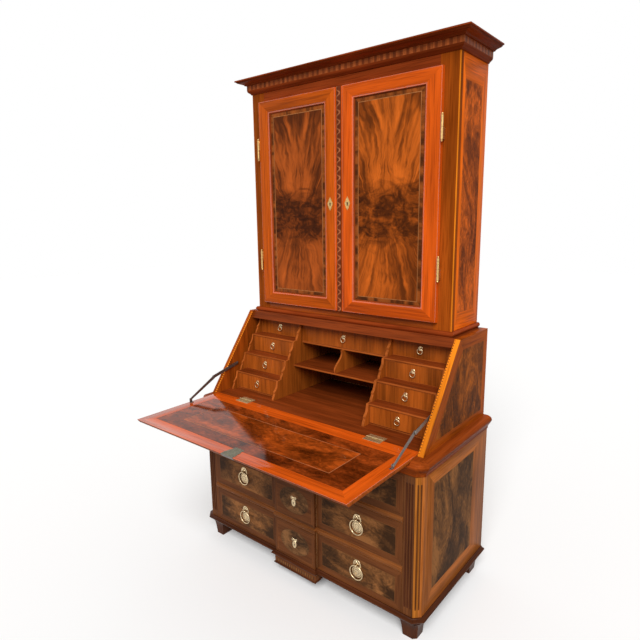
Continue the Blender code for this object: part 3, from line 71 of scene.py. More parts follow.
FORWARD = (0, -1, 0)

# Fits between neighbours, and roundings of edges
SEAT = 0.0005
HAIR = 0.0003
SLACK = 0.0004
WALL_DROP = 0.001
FINE_EDGE = 0.0003
SIDE_EDGE = 0.0004
PINE_EDGE = 0.0005
SHELF_EDGE = 0.0006
FRONT_EDGE = 0.0007
SMALL_EDGE = 0.0008
BLOCK_EDGE = 0.0009

# Facets round the turned forms and the bars
DOME_STEPS = 32
KNOT_STEPS = 12
BEAD_STEPS = 8
KNOB_STEPS = 20
BARREL_STEPS = 20
RIBBON_SIDES = 6
BAR_SIDES = 8
PULL_RING_SIDES = 12
KNOB_RING_SIDES = 10
HINGE_SIDES = 14

# Commode
FOOT_Z = 0.080
FOOT_INSET = 0.046
FOOT_CANT = 0.013
FOOT_LEVELS = ((0.027, 0.0), (0.0285, 0.020), (0.0305, 0.040), (0.0335, 0.060), (0.0385, 0.072),
               (0.0455, 0.0805))
BLOCK_OUT = 0.004
BLOCK_DROP = 0.034
BLOCK_DEEP = 0.040
BLOCK_BEAD = 0.004
BLOCK_PROFILE = ((0.0, 0.0), (0.0022, 0.0006), (0.0036, 0.0020), (BLOCK_BEAD, BLOCK_BEAD), (0.0036, 0.0060),
                 (0.0022, 0.0074), (0.0, 2 * BLOCK_BEAD))
BLOCK_BAND_IN = 0.004
BLOCK_BAND_RISE = 0.0115
BLOCK_BAND_DROP = 0.0065
BLOCK_BANDS = ((0.0014, 0.0, "foot"),)
SIDE_BOARD = 0.020
COMMODE_PANEL_DEPTHS = (0.13, 0.47)
COMMODE_PANEL_HEIGHTS = (0.178, 0.600)
POST_DEPTH = 0.045
RAIL_DEPTH = 0.060
DUST_BOARD = 0.005
DUST_BACK = 0.0135
DUST_SIDE_GAP = 0.0006
DUST_FRONT_GAP = 0.001
FLUTE_DEPTH = 0.0035
FLUTE_STEPS = 6
FLUTE_STOP = 0.030
FLUTE_RUN = 0.008
FLUTE_ENDS = ((0.0, 0.0), (0.7, 0.4), (1.0, 1.0))
FRONT_FLUTES = ((0.27, 0.0075), (0.52, 0.0075), (0.77, 0.0075))
CANT_FLUTES = ((0.31, 0.0060), (0.66, 0.0060))
BASE_PROFILE = ((0.0024, 0.0), (0.0024, 0.0045), (0.0075, 0.0062), (0.0118, 0.0088), (0.0148, 0.0120),
                (0.0160, 0.0152), (0.0148, 0.0180), (0.0110, 0.0200), (0.0055, 0.0212), (0.0040, 0.0230),
                (0.0030, 0.0255))
RAIL_BEAD = ((0.0, 0.0), (0.0, 0.16), (0.0026, 0.19), (0.0044, 0.28), (0.0050, 0.40), (0.0050, 0.60),
             (0.0044, 0.72), (0.0026, 0.81), (0.0, 0.84), (0.0, 1.0))
TOP_RISE = 0.0425
TOP_PROFILE = ((0.0030, 0.0), (0.0034, 0.12), (0.0042, 0.22), (0.0064, 0.34), (0.0090, 0.45), (0.0120, 0.56),
               (0.0146, 0.66), (0.0168, 0.76), (0.0184, 0.86), (0.0190, 0.93), (0.0188, 0.98), (0.0181, 1.0))
STRIP_OUT = 0.018
STRIP_ROUND = 0.023
STRIP_HEIGHT = 0.0145
STRIP_STEPS = 8

# Long drawers, their key plates and pulls
LONG_FRONT = 0.022
LONG_SIDE = 0.012
LONG_FLOOR = 0.010
LONG_BACK = 0.030
LONG_BANDS = ((0.0022, 0.0, "post"), (0.0240, 0.0, "brown"), (0.0014, 0.0, "reed"))
CENTRE_BANDS = ((0.0022, 0.0, "post"), (0.0100, 0.0, "brown"), (0.0012, 0.0, "rail"))
OVAL_X = 0.084
OVAL_SHARE = 0.37
OVAL_LINE = 0.0055
OVAL_STEPS = 64
OVAL_LEVELS = (0.0, 0.0004, 0.0001)
OVAL_FIELD_LEVELS = (0.0, 0.0006, 0.0001)
CENTRE_KEY_RISE = 0.0002
LONG_KEY_DROP = 0.008
LONG_KEY_HALF = (0.011, 0.017)
LONG_KEYHOLE = (0.0022, 0.0075)
KEY_PLATE_LEVELS = (-0.0004, 0.0016, 0.0008)
KEYHOLE_LEVELS = (0.0, 0.0004, 0.0001)
KEYHOLE_RISE = 0.0015
KEYHOLE_ARC = (12, -50, 280)
KEYHOLE_SLOT = 0.5
RIBBON_RISE = 0.0012
KEY_RIBBON_UP = 0.004
KEY_RIBBON = {"start": 0.001, "loop": (0.012, 0.005), "thick": (0.0016, 0.0009), "steps": 10}
PULL_RIBBON_UP = 0.011
PULL_RIBBON = {"start": 0.0, "loop": (0.0105, 0.0055), "thick": (0.0019, 0.0010), "steps": 12}
PULL_X = 0.312
PULL_RING = 0.029
PULL_TUBE = 0.0025
PULL_STAND = 0.0070
PULL_DOME = ((0.0232, 0.0003), (0.0232, 0.0010), (0.0222, 0.0017), (0.0208, 0.0017), (0.0196, 0.0010),
             (0.0180, 0.0010), (0.0160, 0.0020), (0.0120, 0.0026), (0.0104, 0.0020), (0.0090, 0.0022),
             (0.0060, 0.0032), (0.0025, 0.0036), (0.0, 0.0038))
# Rows of the pull plate's recesses, painted in dark brass as painted shade
PULL_SHADED_RECESS = (4, 8)
PULL_EYE = {"reach": 0.0042, "thick": (0.0010, 0.0022), "steps": 10}
ARCH_X = 0.0158
ARCH_Z = 0.0210
ARCH_RISE = 0.0014
ARCH_THICK = (0.0028, 0.0012)
ARCH_ARC = (20, -20, 220)
BEAD_RADIUS = 0.0330
BEAD_FIRST = 23.0
BEAD_TURN = 8.0
BEADS = 2
BEAD_DOME = ((0.0023, -0.0002), (0.0023, 0.0006), (0.0017, 0.0016), (0.0008, 0.0020), (0.0, 0.0021))
KNOT_DOME = ((0.0038, 0.0), (0.0038, 0.0014), (0.0026, 0.0024), (0.0, 0.0028))

# Desk
DESK_X = 0.561
DESK_INNER_X = 0.5385
SIDE_FOOT_DEPTH = 0.524
SIDE_NOSE = 0.017
SLANT = math.radians(54.0)
SLANT_LEAN = 1 / math.tan(SLANT)
DESK_TOP_Z = 1.080
DESK_TOP_DEPTH = 0.24835
DESK_TOP_BOARD = 0.018
DESK_PANEL_IN = 0.044
DESK_PANEL_BACK = 0.036
DESK_PANEL_FRONT = 0.440
DESK_PANEL_CORNER = 0.002
DESK_PANEL_HEAD = 0.62
DESK_BORDER = ("hazel_y", "hazel_z", "hazel_s", "hazel_y", "hazel_z")
DESK_EDGE_STRIPS = (1, 2)
CARVED_PITCH = 0.011
CARVED_STEPS = 6
CARVED_SIDES = 10
CARVED_IN = 0.0030
CARVED_HALF = 0.0028
CARVED_RISE = 0.0018
CARVED_STOP = 0.006
CARVED_NOTCH = 0.62
RAIL_BACK = 0.050
WAIST_PROFILE = ((0.0050, 0.0), (0.0060, 0.0005), (0.0082, 0.0030), (0.0108, 0.0062), (0.0126, 0.0100),
                 (0.0130, 0.0132), (0.0120, 0.0162), (0.0102, 0.0184), (0.0088, 0.0194), (0.0084, 0.0210))

# Writing flap, its lock and hinges
FLAP_AXIS_DEPTH = 0.505
FLAP_AXIS_Z = 0.7225
FLAP_AXIS_LIFT = 0.0025
BED_Z = FLAP_AXIS_Z - FLAP_AXIS_LIFT
FLAP_GAP = 0.0005
FLAP_REST_GAP = 0.003
FLAP_FRONT_DEPTH = 0.93975
FLAP_EDGE = ((0.0050, 0.0180), (0.0026, 0.0172), (0.0008, 0.0152), (0.0, 0.0130), (0.0, 0.0012),
             (0.0004, 0.0004), (0.0012, 0.0))
FLAP_RIM_ROWS = (1, 2, 3)
LID_BORDER_X = 0.482
LID_BORDER_DEPTHS = (0.577, 0.8845)
LID_BORDER_LINE = ((0.0012, 0.0, "dark"),)
LID_FIELD_X = 0.381
LID_FIELD_DEPTHS = (0.641, 0.822)
LID_FIELD_LINE = ((0.0024, 0.0, "edge"),)
LID_OUTER_BANDS = ((0.048, 0.0, "hazel"), (0.0024, 0.0, "stringing"))
LOCK_X = 0.018
LOCK_HALF = 0.031
LOCK_REACH = 0.070
LOCK_LEVELS = (-0.0006, 0.0010, 0.0005)
LOCK_SHARES = ((0.22, 0.08), (0.52, 0.03), (0.78, 0.12), (0.74, 0.30), (0.92, 0.46), (0.88, 0.60),
               (1.0, 0.72), (1.0, 1.0))
LOCK_SCREWS = ((-0.58, 0.16), (0.58, 0.16), (-0.8, 0.85), (0.8, 0.85))
LIP_DROP = 0.0126
LIP_LAP = 0.005
LIP_THICK = 0.0017
LIP_UNDER = 0.0008
LEAF_RISE = 0.0009
LEAF_SINK = 0.0006
HINGE_X = 0.349
HINGE_LENGTH = 0.075
HINGE_LEAF = 0.028
HINGE_BARREL = 0.0021
HINGE_NEAR = 0.0026
HINGE_STEP = 0.0004
HINGE_SCREWS = (-1, 0, 1)
HINGE_SCREW_X = 0.7
HINGE_SCREW_DEEP = 0.6
KNUCKLE_RISE = 0.0002
KNUCKLE_EDGE = 0.0002
SCREW_HEAD = ((0.0030, -0.0002), (0.0030, 0.0001), (0.0022, 0.0004), (0.0, 0.0005))
SCREW_STEPS = 12

# Stays and their brackets
STAY_PIVOT_DEPTH = 0.3825
STAY_PIVOT_Z = 0.8385
STAY_FLAP_REACH = 0.168
STAY_FLAP_RISE = 0.0095
STAY_BOW = 0.0185
STAY_THICKNESS = 0.0025
STAY_CHAMFER = 0.0005
STAY_UPPER_X = 0.5335
STAY_LOWER_X = 0.530
STAY_UPPER_HALF = 0.0065
STAY_LOWER_HALF = 0.0048
STAY_EYE = 0.0075
STAY_EYE_STEPS = 12
STAY_BOSS = 0.0045
STAY_STEPS = 16
RIVET = ((0.0042, -0.0003), (0.0042, 0.0002), (0.0034, 0.0008), (0.0018, 0.0012), (0.0, 0.0013))
RIVET_SINK = 0.0001
BRACKET_HALF = 0.007
BRACKET_FOOT = 0.012
BRACKET_THICK = 0.003
BRACKET_RISE = 0.0015
BRACKET_TOP = 0.0165

# Fitted interior
INNER_UPRIGHT_X = 0.2405
INNER_UPRIGHT = 0.0115
OUTER_UPRIGHT_X = 0.5105
OUTER_UPRIGHT = 0.008
UPRIGHT_OUT = 0.038
UPRIGHT_SHARES = ((0.0, 1.0), (0.06, 1.0), (0.12, 0.97), (0.20, 0.88), (0.28, 0.76), (0.34, 0.72),
                  (0.38, 0.76), (0.42, 0.75), (0.46, 0.66), (0.54, 0.47), (0.64, 0.33), (0.76, 0.25),
                  (0.88, 0.20), (0.955, 0.17), (0.97, 0.16))
CASE_X = 0.512
CASE_BACK = 0.0015
CASE_IN = 0.001
SHELF = 0.008
SHELF_NOSE = 0.003
SHELF_HOUSING = 0.003
PIGEONHOLE_DEPTH = 0.295
PIGEONHOLE_Z = 0.8515
DIVIDER_FOOT_IN = 0.002
DIVIDER_TOP_OUT = 0.017
DIVIDER_BULGE = 0.007
DIVIDER_STEPS = 16
SMALL_PROUD = 0.0085
SMALL_FRONT = 0.014
SMALL_SIDE = 0.007
SMALL_FLOOR = 0.006
SMALL_BACK = 0.020
SMALL_BANDS = ((0.0018, 0.0, "nosing"),)
KNOB_RING = 0.0115
KNOB_RING_STEPS = 32
KNOB_TUBE = 0.0015
KNOB_STAND = 0.0056
KNOB_EYE = {"reach": 0.0026, "thick": (0.0007, 0.0018), "steps": 6}
KNOB_DOME = ((0.0095, -0.0003), (0.0095, 0.0006), (0.0086, 0.0013), (0.0076, 0.0013), (0.0062, 0.0007),
             (0.0040, 0.0009), (0.0, 0.0010))

# Cupboard
CUPBOARD_X = 0.514
CUPBOARD_DEPTH = 0.239
CUPBOARD_BOARD = 0.018
CUPBOARD_PANEL_DEPTHS = (0.047, 0.195)
CUPBOARD_PANEL_HEIGHTS = (1.166, 2.003)
FRONT_FRAME = 0.022
FRONT_STILE = 0.076
STILE_ROUND = 0.0035
STILE_ROUND_MIDDLE = 0.0010
# Strips of the rounded stile corner, painted bright gilt as painted highlight
STILE_HIGHLIGHT_STRIPS = (2, 3)
FRAME_LAP = 0.018
BARREL_X = 0.4615
BARREL_DEPTH = 0.261
BARREL_RADIUS = 0.0048
BARREL_HALF = 0.050
BARREL_RISE = 0.205
BARREL_DROP = 0.207
BARREL_WEB = 0.0012
BARREL_WEB_REACH = 0.003
BARREL_WING_LAP = 0.0006
BARREL_WING = (0.0050, 0.0022)
FINIAL_HEIGHT = 0.009
FINIAL = ((0.55, 0.0013), (0.78, 0.0026), (0.95, 0.0044), (0.80, 0.0062), (0.45, 0.0070), (0.50, 0.0078),
          (0.20, 0.0088), (0.0, FINIAL_HEIGHT))
DENTIL_ROW = 6
CORNICE_PROFILE = ((0.0010, 2.0890), (0.0028, 2.0898), (0.0044, 2.0926), (0.0076, 2.0957), (0.0116, 2.0985),
                   (0.0148, 2.1018), (0.0165, 2.1070), (0.0165, 2.1280), (0.0240, 2.1290), (0.0250, 2.1318),
                   (0.0300, 2.1345), (0.0380, 2.1368), (0.0460, 2.1388), (0.0500, 2.1412), (0.0515, 2.1440),
                   (0.0565, 2.1446), (0.0565, 2.1496), (0.0561, 2.1500))

# Doors
DOOR_IN = 0.0175
DOOR_OUT = 0.456
DOOR_LOW = 1.131
DOOR_HIGH = 2.047
DOOR_BACK = 0.2408
DOOR_FRONT = 0.259
BARREL_HEIGHTS = (DOOR_LOW + BARREL_RISE, DOOR_HIGH - BARREL_DROP)
PANEL_IN = 0.0785
PANEL_OUT = 0.387
PANEL_LOW = 1.189
PANEL_HIGH = 1.989
DOOR_PROFILE = ((0.0, 0.0, DOOR_BACK), (0.0, 0.0, DOOR_FRONT - 0.0030), (0.0, 0.0009, DOOR_FRONT - 0.0009),
                (0.0, 0.0030, DOOR_FRONT), (1.0, -0.0105, DOOR_FRONT), (1.0, -0.0096, DOOR_FRONT - 0.0014),
                (1.0, -0.0080, DOOR_FRONT - 0.0010), (1.0, -0.0050, DOOR_FRONT - 0.0022),
                (1.0, -0.0022, DOOR_FRONT - 0.0048), (1.0, 0.0, DOOR_FRONT - 0.0068), (1.0, 0.0, DOOR_BACK))
# Columns of the door frame's section where it falls to the panel, painted dark walnut as painted shade
DOOR_SHADED_COVE = (7, 8, 9)
DOOR_ROUNDED = (1, 2, 4, 5, 6)
# The left door's frame takes honey, a darker copy of the right door's cherry: painted shade.
DOOR_BOARDS = {"left": "honey", "right": "cherry"}
DOOR_BANDS = ((0.0135, 0.0, "crossband"), (0.0026, 0.0, "stringing"))
DOOR_KEY_IN = 0.045
DOOR_KEY_RISE = 0.456
DOOR_KEYHOLE = (0.0036, 0.0110)
DOOR_KEYHOLE_UP = 0.001
KITE_HALF = 0.029
KITE_SIDE = ((0.0028, 0.023), (0.0075, 0.017), (0.0080, 0.011), (0.0125, 0.006), (0.0140, 0.0),
             (0.0115, -0.007), (0.0085, -0.012), (0.0070, -0.019), (0.0025, -0.024))
VINE_PERIOD = 0.036
VINE_STEPS = 12
VINE_ARC_STEPS = 12
VINE_MARGIN = 0.006
VINE_SHOULDER = 0.002
VINE_SHOULDER_RISE = 0.0008
VINE_BACK = 0.0003
VINE_SINK = 0.004
VINE_HEIGHT = 0.008
VINE_LEAST = 0.72
VINE_VEIN = 0.30
VINE_TWIST = 2.0
VINE_SWELL = 0.6
VINE_LAP = 0.0006
VINE_REST = 0.0010
# A pale wavy line on the carved bead, painted highlight on its leaves: its middle column, swing and width
VINE_HIGHLIGHT_MIDDLE = 8.0
VINE_HIGHLIGHT_SWING = 3.4
VINE_HIGHLIGHT_WIDTH = 1.4
VINE_FACES = (2, 14)
HEART_DROP = 0.13
# Tones of the door panels; the left panel's darker tone is painted shade
PANEL_TONES_WITH_SHADE = {"left": (0.34, 0.070, 0.010), "right": (0.48, 0.100, 0.010)}

# Studio
SENSOR = 36.0
CAMERA_FOCUS = 525.99
PHOTO_SIZE = 640
CAMERA_PLACE = Vector((1.358, -2.053 + 0.470875, 1.529))
CAMERA_TURN = 39.27
CAMERA_TILT = -10.98
CAMERA_ROLL = -0.705
CAMERA_SIGHT = 60.0
WORLD_TONE = (1.0, 0.985, 0.965)
WORLD_LIGHT = 0.35
WHITE = (1.0, 1.0, 1.0)
SUN_LIGHT = 3.3
SUN_SPREAD = 38.0
SUN_FROM = (0.50, -0.78, 0.82)
FLOOR_REACH = 14.0
FLOOR_TONE = (0.97, 0.97, 0.97)
FLOOR_BOUNCE = (0.30, 0.30, 0.30)

# Polish of the woods: roughness and sheen
POLISH = 0.30
SHEEN = 0.06
SIDE_SHEEN = 0.012
SIDE_WOODS = ("amber", "golden", "gilt", "hazel", "mahogany", "rim", "commode", "desk", "side", "gallery",
              "dark", "nosing", "strip")
LID_WOODS = ("leaf", "lid")
LID_POLISH = 0.09
LID_SHEEN = 0.20
EDGE_POLISH = 0.12
EDGE_SHEEN = 1.0

# Straight-grained woods: tone, or a share of a panel colour; strength of the broad figure; fineness
WOODS = {
    "cherry": (("cherry", 1.0), 0.20, 0.8),
    "polished": (("cherry", 0.9), 0.20, 0.8),
    "leaf": (("cherry", 0.9), 0.24, 0.8),
    # honey: the cherry made darker for the left door's frame, as painted shade
    "honey": ((0.585, 0.100, 0.005), 0.24, 0.8),
    "walnut": (("walnut", 1.0), 0.75, 1.0),
    "golden": (("golden", 1.0), 0.6, 1.0),
    "dark": (("dark", 1.0), 0.6, 1.0),
    "rim": ((0.40, 0.085, 0.011), 0.4, 0.8),
    "nest": ((0.35, 0.080, 0.009), 0.7, 0.9),
    "brown": ((0.16, 0.050, 0.014), 0.6, 1.0),
    "amber": ((0.44, 0.132, 0.026), 0.7, 1.0),
    "foot": ((0.082, 0.023, 0.008), 0.5, 1.0),
    "post": ((0.15, 0.050, 0.015), 0.6, 1.0),
    "reed": ((0.20, 0.072, 0.021), 0.5, 1.0),
    "gilt": ((0.84, 0.235, 0.013), 0.45, 0.8),
    "strip": ((0.46, 0.150, 0.022), 0.5, 0.8),
    "rail": ((0.25, 0.080, 0.020), 0.5, 1.0),
    "bead": ((0.17, 0.034, 0.009), 0.5, 1.0),
    "mahogany": ((0.30, 0.054, 0.007), 0.55, 0.8),
    "hazel": ((0.37, 0.074, 0.006), 0.7, 0.9),
    "gallery": ((0.36, 0.088, 0.010), 0.6, 0.9),
    "edge": ((0.50, 0.17, 0.065), 0.35, 1.0),
    "nosing": ((0.42, 0.105, 0.020), 0.4, 1.0),
    "interior": ((0.20, 0.036, 0.006), 0.55, 1.0),
    "drawer": ((0.34, 0.068, 0.008), 0.6, 1.0),
}
GRAINED = (*WOODS, "crossband", "dentil")
# Share of the tone on door-frame woods whose grain lies level, as on the rails: partly their own tone, partly
# painted shade
LEVEL_TONE_AND_PAINTED_SHADE = 0.80

# Burl veneers: tone, axis of the run, scale, and where a drawer front darkens as (middle, reach)
BURLS = {
    "drawer_burl": ((0.17, 0.066, 0.020), ACROSS, 9.0, (0.310, 0.172)),
    "oval_burl": ((0.14, 0.060, 0.021), ACROSS, 11.0, None),
    "commode_burl": ((0.165, 0.064, 0.016), UP, 7.0, None),
    "desk_burl": ((0.25, 0.062, 0.005), UP, 8.0, None),
    "side_burl": ((0.43, 0.080, 0.006), UP, 8.0, None),
    "lid_burl": ((0.29, 0.050, 0.005), ACROSS, 7.0, None),
    "lid_band": ((0.20, 0.033, 0.004), ACROSS, 8.0, None),
}

# Metals: tone, roughness, and how much darker the seldom touched places are
METALS = {
    "brass": (("brass", 1.0), 0.22, 0.45),
    "steel": (("steel", 1.0), 0.45, 0.3),
    "gold": ((0.74, 0.47, 0.18), 0.35, 0.45),
    "old_brass": ((0.62, 0.47, 0.25), 0.45, 0.35),
    # tarnish: a dark brass for the recesses of a pull plate, painted shade there
    "tarnish": ((0.17, 0.11, 0.055), 0.5, 0.4),
    "lock": ((0.27, 0.27, 0.20), 0.5, 0.35),
}

# Tones of the other finishes
STRINGING_TONE = (0.44, 0.17, 0.055)
CROSSBAND_TONE = (0.21, 0.052, 0.008)
DENTIL_TONES = ((0.50, 0.118, 0.028), (0.27, 0.056, 0.013))
FINE_DENTIL_TONES = ((0.22, 0.085, 0.022), (0.075, 0.024, 0.009))
FINE_DENTIL = 0.45
PINE_TONE = (0.53, 0.265, 0.11)
HOLE_TONE = (0.006, 0.004, 0.003)
HOLE_ROUGHNESS = 0.8

# Noises of the finishes: scale, detail, roughness and distortion
BROAD_FIGURE = (9.0, 3.0, 0.5, 1.1)
STREAKS = (55.0, 5.0, 0.6, 0.4)
PORES = (240.0, 2.0, 0.5, 0.0)
DRIFT = (7.0, 3.0, 0.55, 0.0)
FLAMES = (13.0, 4.0, 0.6, 1.3)
FLAME_FIBRE = (95.0, 4.0, 0.6, 0.3)
KNOTS = (14.0, 5.0, 0.62, 1.1)
SPECKS = (46.0, 4.0, 0.6, 0.8)
CLOUDS = (6.5, 3.0, 0.5, 0.8)
POOLS = (1.0, 3.0, 0.55, 1.6)
CURLS = (4.0, 5.0, 0.6, 2.8)
BAND_BLOCKS = (30.0, 2.0, 0.5, 0.4)
BAND_FIBRE = (420.0, 3.0, 0.5, 0.0)
DENTIL_GRAIN = (90.0, 3.0, 0.5, 0.0)
TARNISH = (160.0, 4.0, 0.65, 0.0)
HANDLING = (600.0, 3.0, 0.6, 0.0)
PINE_BANDS = (14.0, 3.0, 0.5, 1.6)
PINE_FIBRE = (160.0, 4.0, 0.6, 0.0)

# Shades along those noises: place on the ramp and share of the tone
WOOD_SHADES = ((0.22, 0.34), (0.42, 0.72), (0.58, 1.08), (0.78, 1.5))
PORE_STOPS = ((0.36, (0.62, 0.55, 0.5)), (0.5, WHITE))
FLAME_SHADES = ((0.30, 0.26), (0.42, 0.58), (0.52, 1.0), (0.70, 1.45))
HEART_SHADES = ((0.30, 0.09), (0.46, 0.19), (0.58, 0.42), (0.74, 0.80))
BURL_SHADES = ((0.30, 0.24), (0.44, 0.58), (0.55, 1.05), (0.70, 1.9))
BAND_SHADES = ((0.34, 0.34), (0.45, 0.58), (0.54, 1.05), (0.68, 1.55))
PALE_DENTIL_SHADES = ((0.3, 0.7), (0.7, 1.25))
DEEP_DENTIL_SHADES = ((0.3, 0.7), (0.7, 1.3))
PINE_SHADES = ((0.3, 0.62), (0.5, 1.0), (0.7, 1.25))
TARNISH_PLACES = (0.32, 0.62)

# Relief of the finishes: strength and distance
WOOD_RELIEF = (0.05, 0.0006)
FLAME_RELIEF = (0.04, 0.0006)
BURL_RELIEF = (0.03, 0.0006)
METAL_RELIEF = (0.08, 0.0003)
PINE_RELIEF = (0.12, 0.0008)
PINE_ROUGHNESS = 0.62
PLANK = 0.21
JOINT_SHARE = 0.006
JOINT_SHADE = 0.10


def small_names():
    """Names of the nine small drawers."""
    names = ["small_drawer_" + word + "_" + str(row) for row in ROWS for _, word in SIDES]
    return names + ["small_drawer_centre"]


class CabinetSizes(bpy.types.PropertyGroup):
    """Sizes of the finer forms."""

    edge: FloatProperty(name="Edge", description="Softened edge of a board", default=0.0012, unit="LENGTH")
    break_x: FloatProperty(name="Centre block", description="Half width of the block that stands forward",
                           default=0.110, unit="LENGTH")
    break_out: FloatProperty(name="Block depth", description="How far the centre block stands forward",
                             default=0.014, unit="LENGTH")
    cant: FloatProperty(name="Cant", description="Width of the canted front corners in plan", default=0.024,
                        unit="LENGTH")
    dentil: FloatProperty(name="Dentil", description="Width of one block of the dentil inlay", default=0.014,
                          unit="LENGTH")
    ring_steps: IntProperty(name="Ring steps", description="Facets round a hanging ring", default=48)


class CabinetColours(bpy.types.PropertyGroup):
    """Main tones of the woods and metals, as linear colours."""

    cherry: FloatVectorProperty(name="Cherry", description="Right door's frame and the flap's border",
                                subtype="COLOR", size=3, default=(0.78, 0.113, 0.007))
    walnut: FloatVectorProperty(name="Walnut", description="Straight walnut of the carcase", subtype="COLOR",
                                size=3, default=(0.38, 0.078, 0.010))
    golden: FloatVectorProperty(name="Golden walnut", description="Banding of the cupboard's sides",
                                subtype="COLOR", size=3, default=(0.92, 0.165, 0.009))
    dark: FloatVectorProperty(name="Dark walnut", description="Cornice, waist and frieze", subtype="COLOR",
                              size=3, default=(0.29, 0.048, 0.009))
    brass: FloatVectorProperty(name="Brass", description="Ring pulls and key plates", subtype="COLOR", size=3,
                               default=(0.78, 0.60, 0.36))
    steel: FloatVectorProperty(name="Steel", description="Stays and their brackets", subtype="COLOR", size=3,
                               default=(0.22, 0.20, 0.18))


def sizes():
    """The scene's cabinet sizes."""
    return bpy.context.scene.cabinet_sizes


def colours():
    """The scene's cabinet colours."""
    return bpy.context.scene.cabinet_colours


def tint(colour, factor):
    """A colour made lighter or darker by one factor."""
    return tuple(min(1.0, part * factor) for part in colour)


def tone_of(tone):
    """A colour as it stands, or a share of one of the panel's colours."""
    if isinstance(tone[0], str):
        return tint(getattr(colours(), tone[0]), tone[1])
    return tone


class Paint:
    """A material under construction, with short ways to add and join its nodes."""

    def __init__(self, name, roughness, specular=0.5, metallic=0.0):
        self.material = bpy.data.materials.new(name)
        self.material.use_nodes = True
        self.tree = self.material.node_tree
        self.shader = self.tree.nodes["Principled BSDF"]
        self.shader.inputs["Roughness"].default_value = roughness
        self.shader.inputs["Metallic"].default_value = metallic
        self.shader.inputs["Specular IOR Level"].default_value = specular

    def node(self, kind, **values):
        """Add a node and set its plain properties."""
        made = self.tree.nodes.new(kind)
        for key, value in values.items():
            setattr(made, key, value)
        return made

    def join(self, source, target):
        """Link two sockets."""
        self.tree.links.new(source, target)

    def ground(self):
        """Object coordinates."""
        return self.node("ShaderNodeTexCoord").outputs["Object"]

    def split(self, vector):
        """The three numbers of a vector."""
        made = self.node("ShaderNodeSeparateXYZ")
        self.join(vector, made.inputs["Vector"])
        return made.outputs

    def place(self, scale, turn=(0, 0, 0), source=None):
        """Object coordinates, or a given vector, scaled and turned."""
        mapping = self.node("ShaderNodeMapping")
        mapping.inputs["Scale"].default_value = scale
        mapping.inputs["Rotation"].default_value = turn
        if source is None:
            source = self.ground()
        self.join(source, mapping.inputs["Vector"])
        return mapping.outputs["Vector"]

    def noise(self, vector, recipe, fineness=1.0):
        """Noise over a vector; a recipe is (scale, detail, roughness, distortion)."""
        scale, detail, roughness, distortion = recipe
        made = self.node("ShaderNodeTexNoise")
        made.inputs["Scale"].default_value = scale * fineness
        made.inputs["Detail"].default_value = detail
        made.inputs["Roughness"].default_value = roughness
        made.inputs["Distortion"].default_value = distortion
        self.join(vector, made.inputs["Vector"])
        return made.outputs["Fac"]

    def maths(self, operation, *values):
        """One sum on sockets or numbers."""
        made = self.node("ShaderNodeMath", operation=operation)
        for socket, value in zip(made.inputs, values):
            if isinstance(value, (int, float)):
                socket.default_value = value
            else:
                self.join(value, socket)
        return made.outputs["Value"]

    def swing(self, value, reach):
        """A noise about zero, times its reach."""
        return self.maths("MULTIPLY", self.maths("SUBTRACT", value, 0.5), reach)

    def span(self, value, kind="LINEAR", **limits):
        """A value carried from one range to another; limits are named as from_min or to_max."""
        made = self.node("ShaderNodeMapRange", interpolation_type=kind)
        self.join(value, made.inputs["Value"])
        for key, limit in limits.items():
            made.inputs[key.replace("_", " ").title()].default_value = limit
        return made.outputs["Result"]

    def ramp(self, factor, stops):
        """Colours along a factor, from (place, colour) stops."""
        made = self.node("ShaderNodeValToRGB")
        points = made.color_ramp.elements
        while len(points) < len(stops):
            points.new(0.5)
        for point, (place, colour) in zip(points, stops):
            point.position = place
            point.color = (*colour, 1.0)
        self.join(factor, made.inputs["Fac"])
        return made.outputs["Color"]

    def shade(self, factor, tone, shades):
        """One tone made darker and lighter along a factor, from (place, share) stops."""
        return self.ramp(factor, [(place, tint(tone, share)) for place, share in shades])

    def mix(self, factor, first, second, blend="MIX"):
        """Blend two colours, each a socket or a plain colour."""
        made = self.node("ShaderNodeMix", data_type="RGBA", blend_type=blend)
        sockets = (made.inputs["Factor"], made.inputs[6], made.inputs[7])
        for socket, value in zip(sockets, (factor, first, second)):
            if isinstance(value, (int, float)):
                socket.default_value = value
            elif isinstance(value, tuple):
                socket.default_value = (*value, 1.0)
            else:
                self.join(value, socket)
        return made.outputs[2]

    def bump(self, height, relief):
        """Relief of the surface from a height; relief is (strength, distance)."""
        made = self.node("ShaderNodeBump")
        made.inputs["Strength"].default_value, made.inputs["Distance"].default_value = relief
        self.join(height, made.inputs["Height"])
        self.join(made.outputs["Normal"], self.shader.inputs["Normal"])

    def done(self, colour):
        """Set the colour and hand over the material."""
        self.join(colour, self.shader.inputs["Base Color"])
        return self.material


def along(axis, stretch):
    """Scale that draws a pattern out along one axis."""
    scale = [1.0, 1.0, 1.0]
    scale[axis] = 1.0 / stretch
    return tuple(scale)


def polish_of(name):
    """Roughness and sheen of a wood: bright on rounded cherry edges and the lid, faint on the sides."""
    first = name.partition("_")[0]
    if first == "polished":
        return EDGE_POLISH, EDGE_SHEEN
    if first in LID_WOODS:
        return LID_POLISH, LID_SHEEN
    return POLISH, SIDE_SHEEN if first in SIDE_WOODS else SHEEN


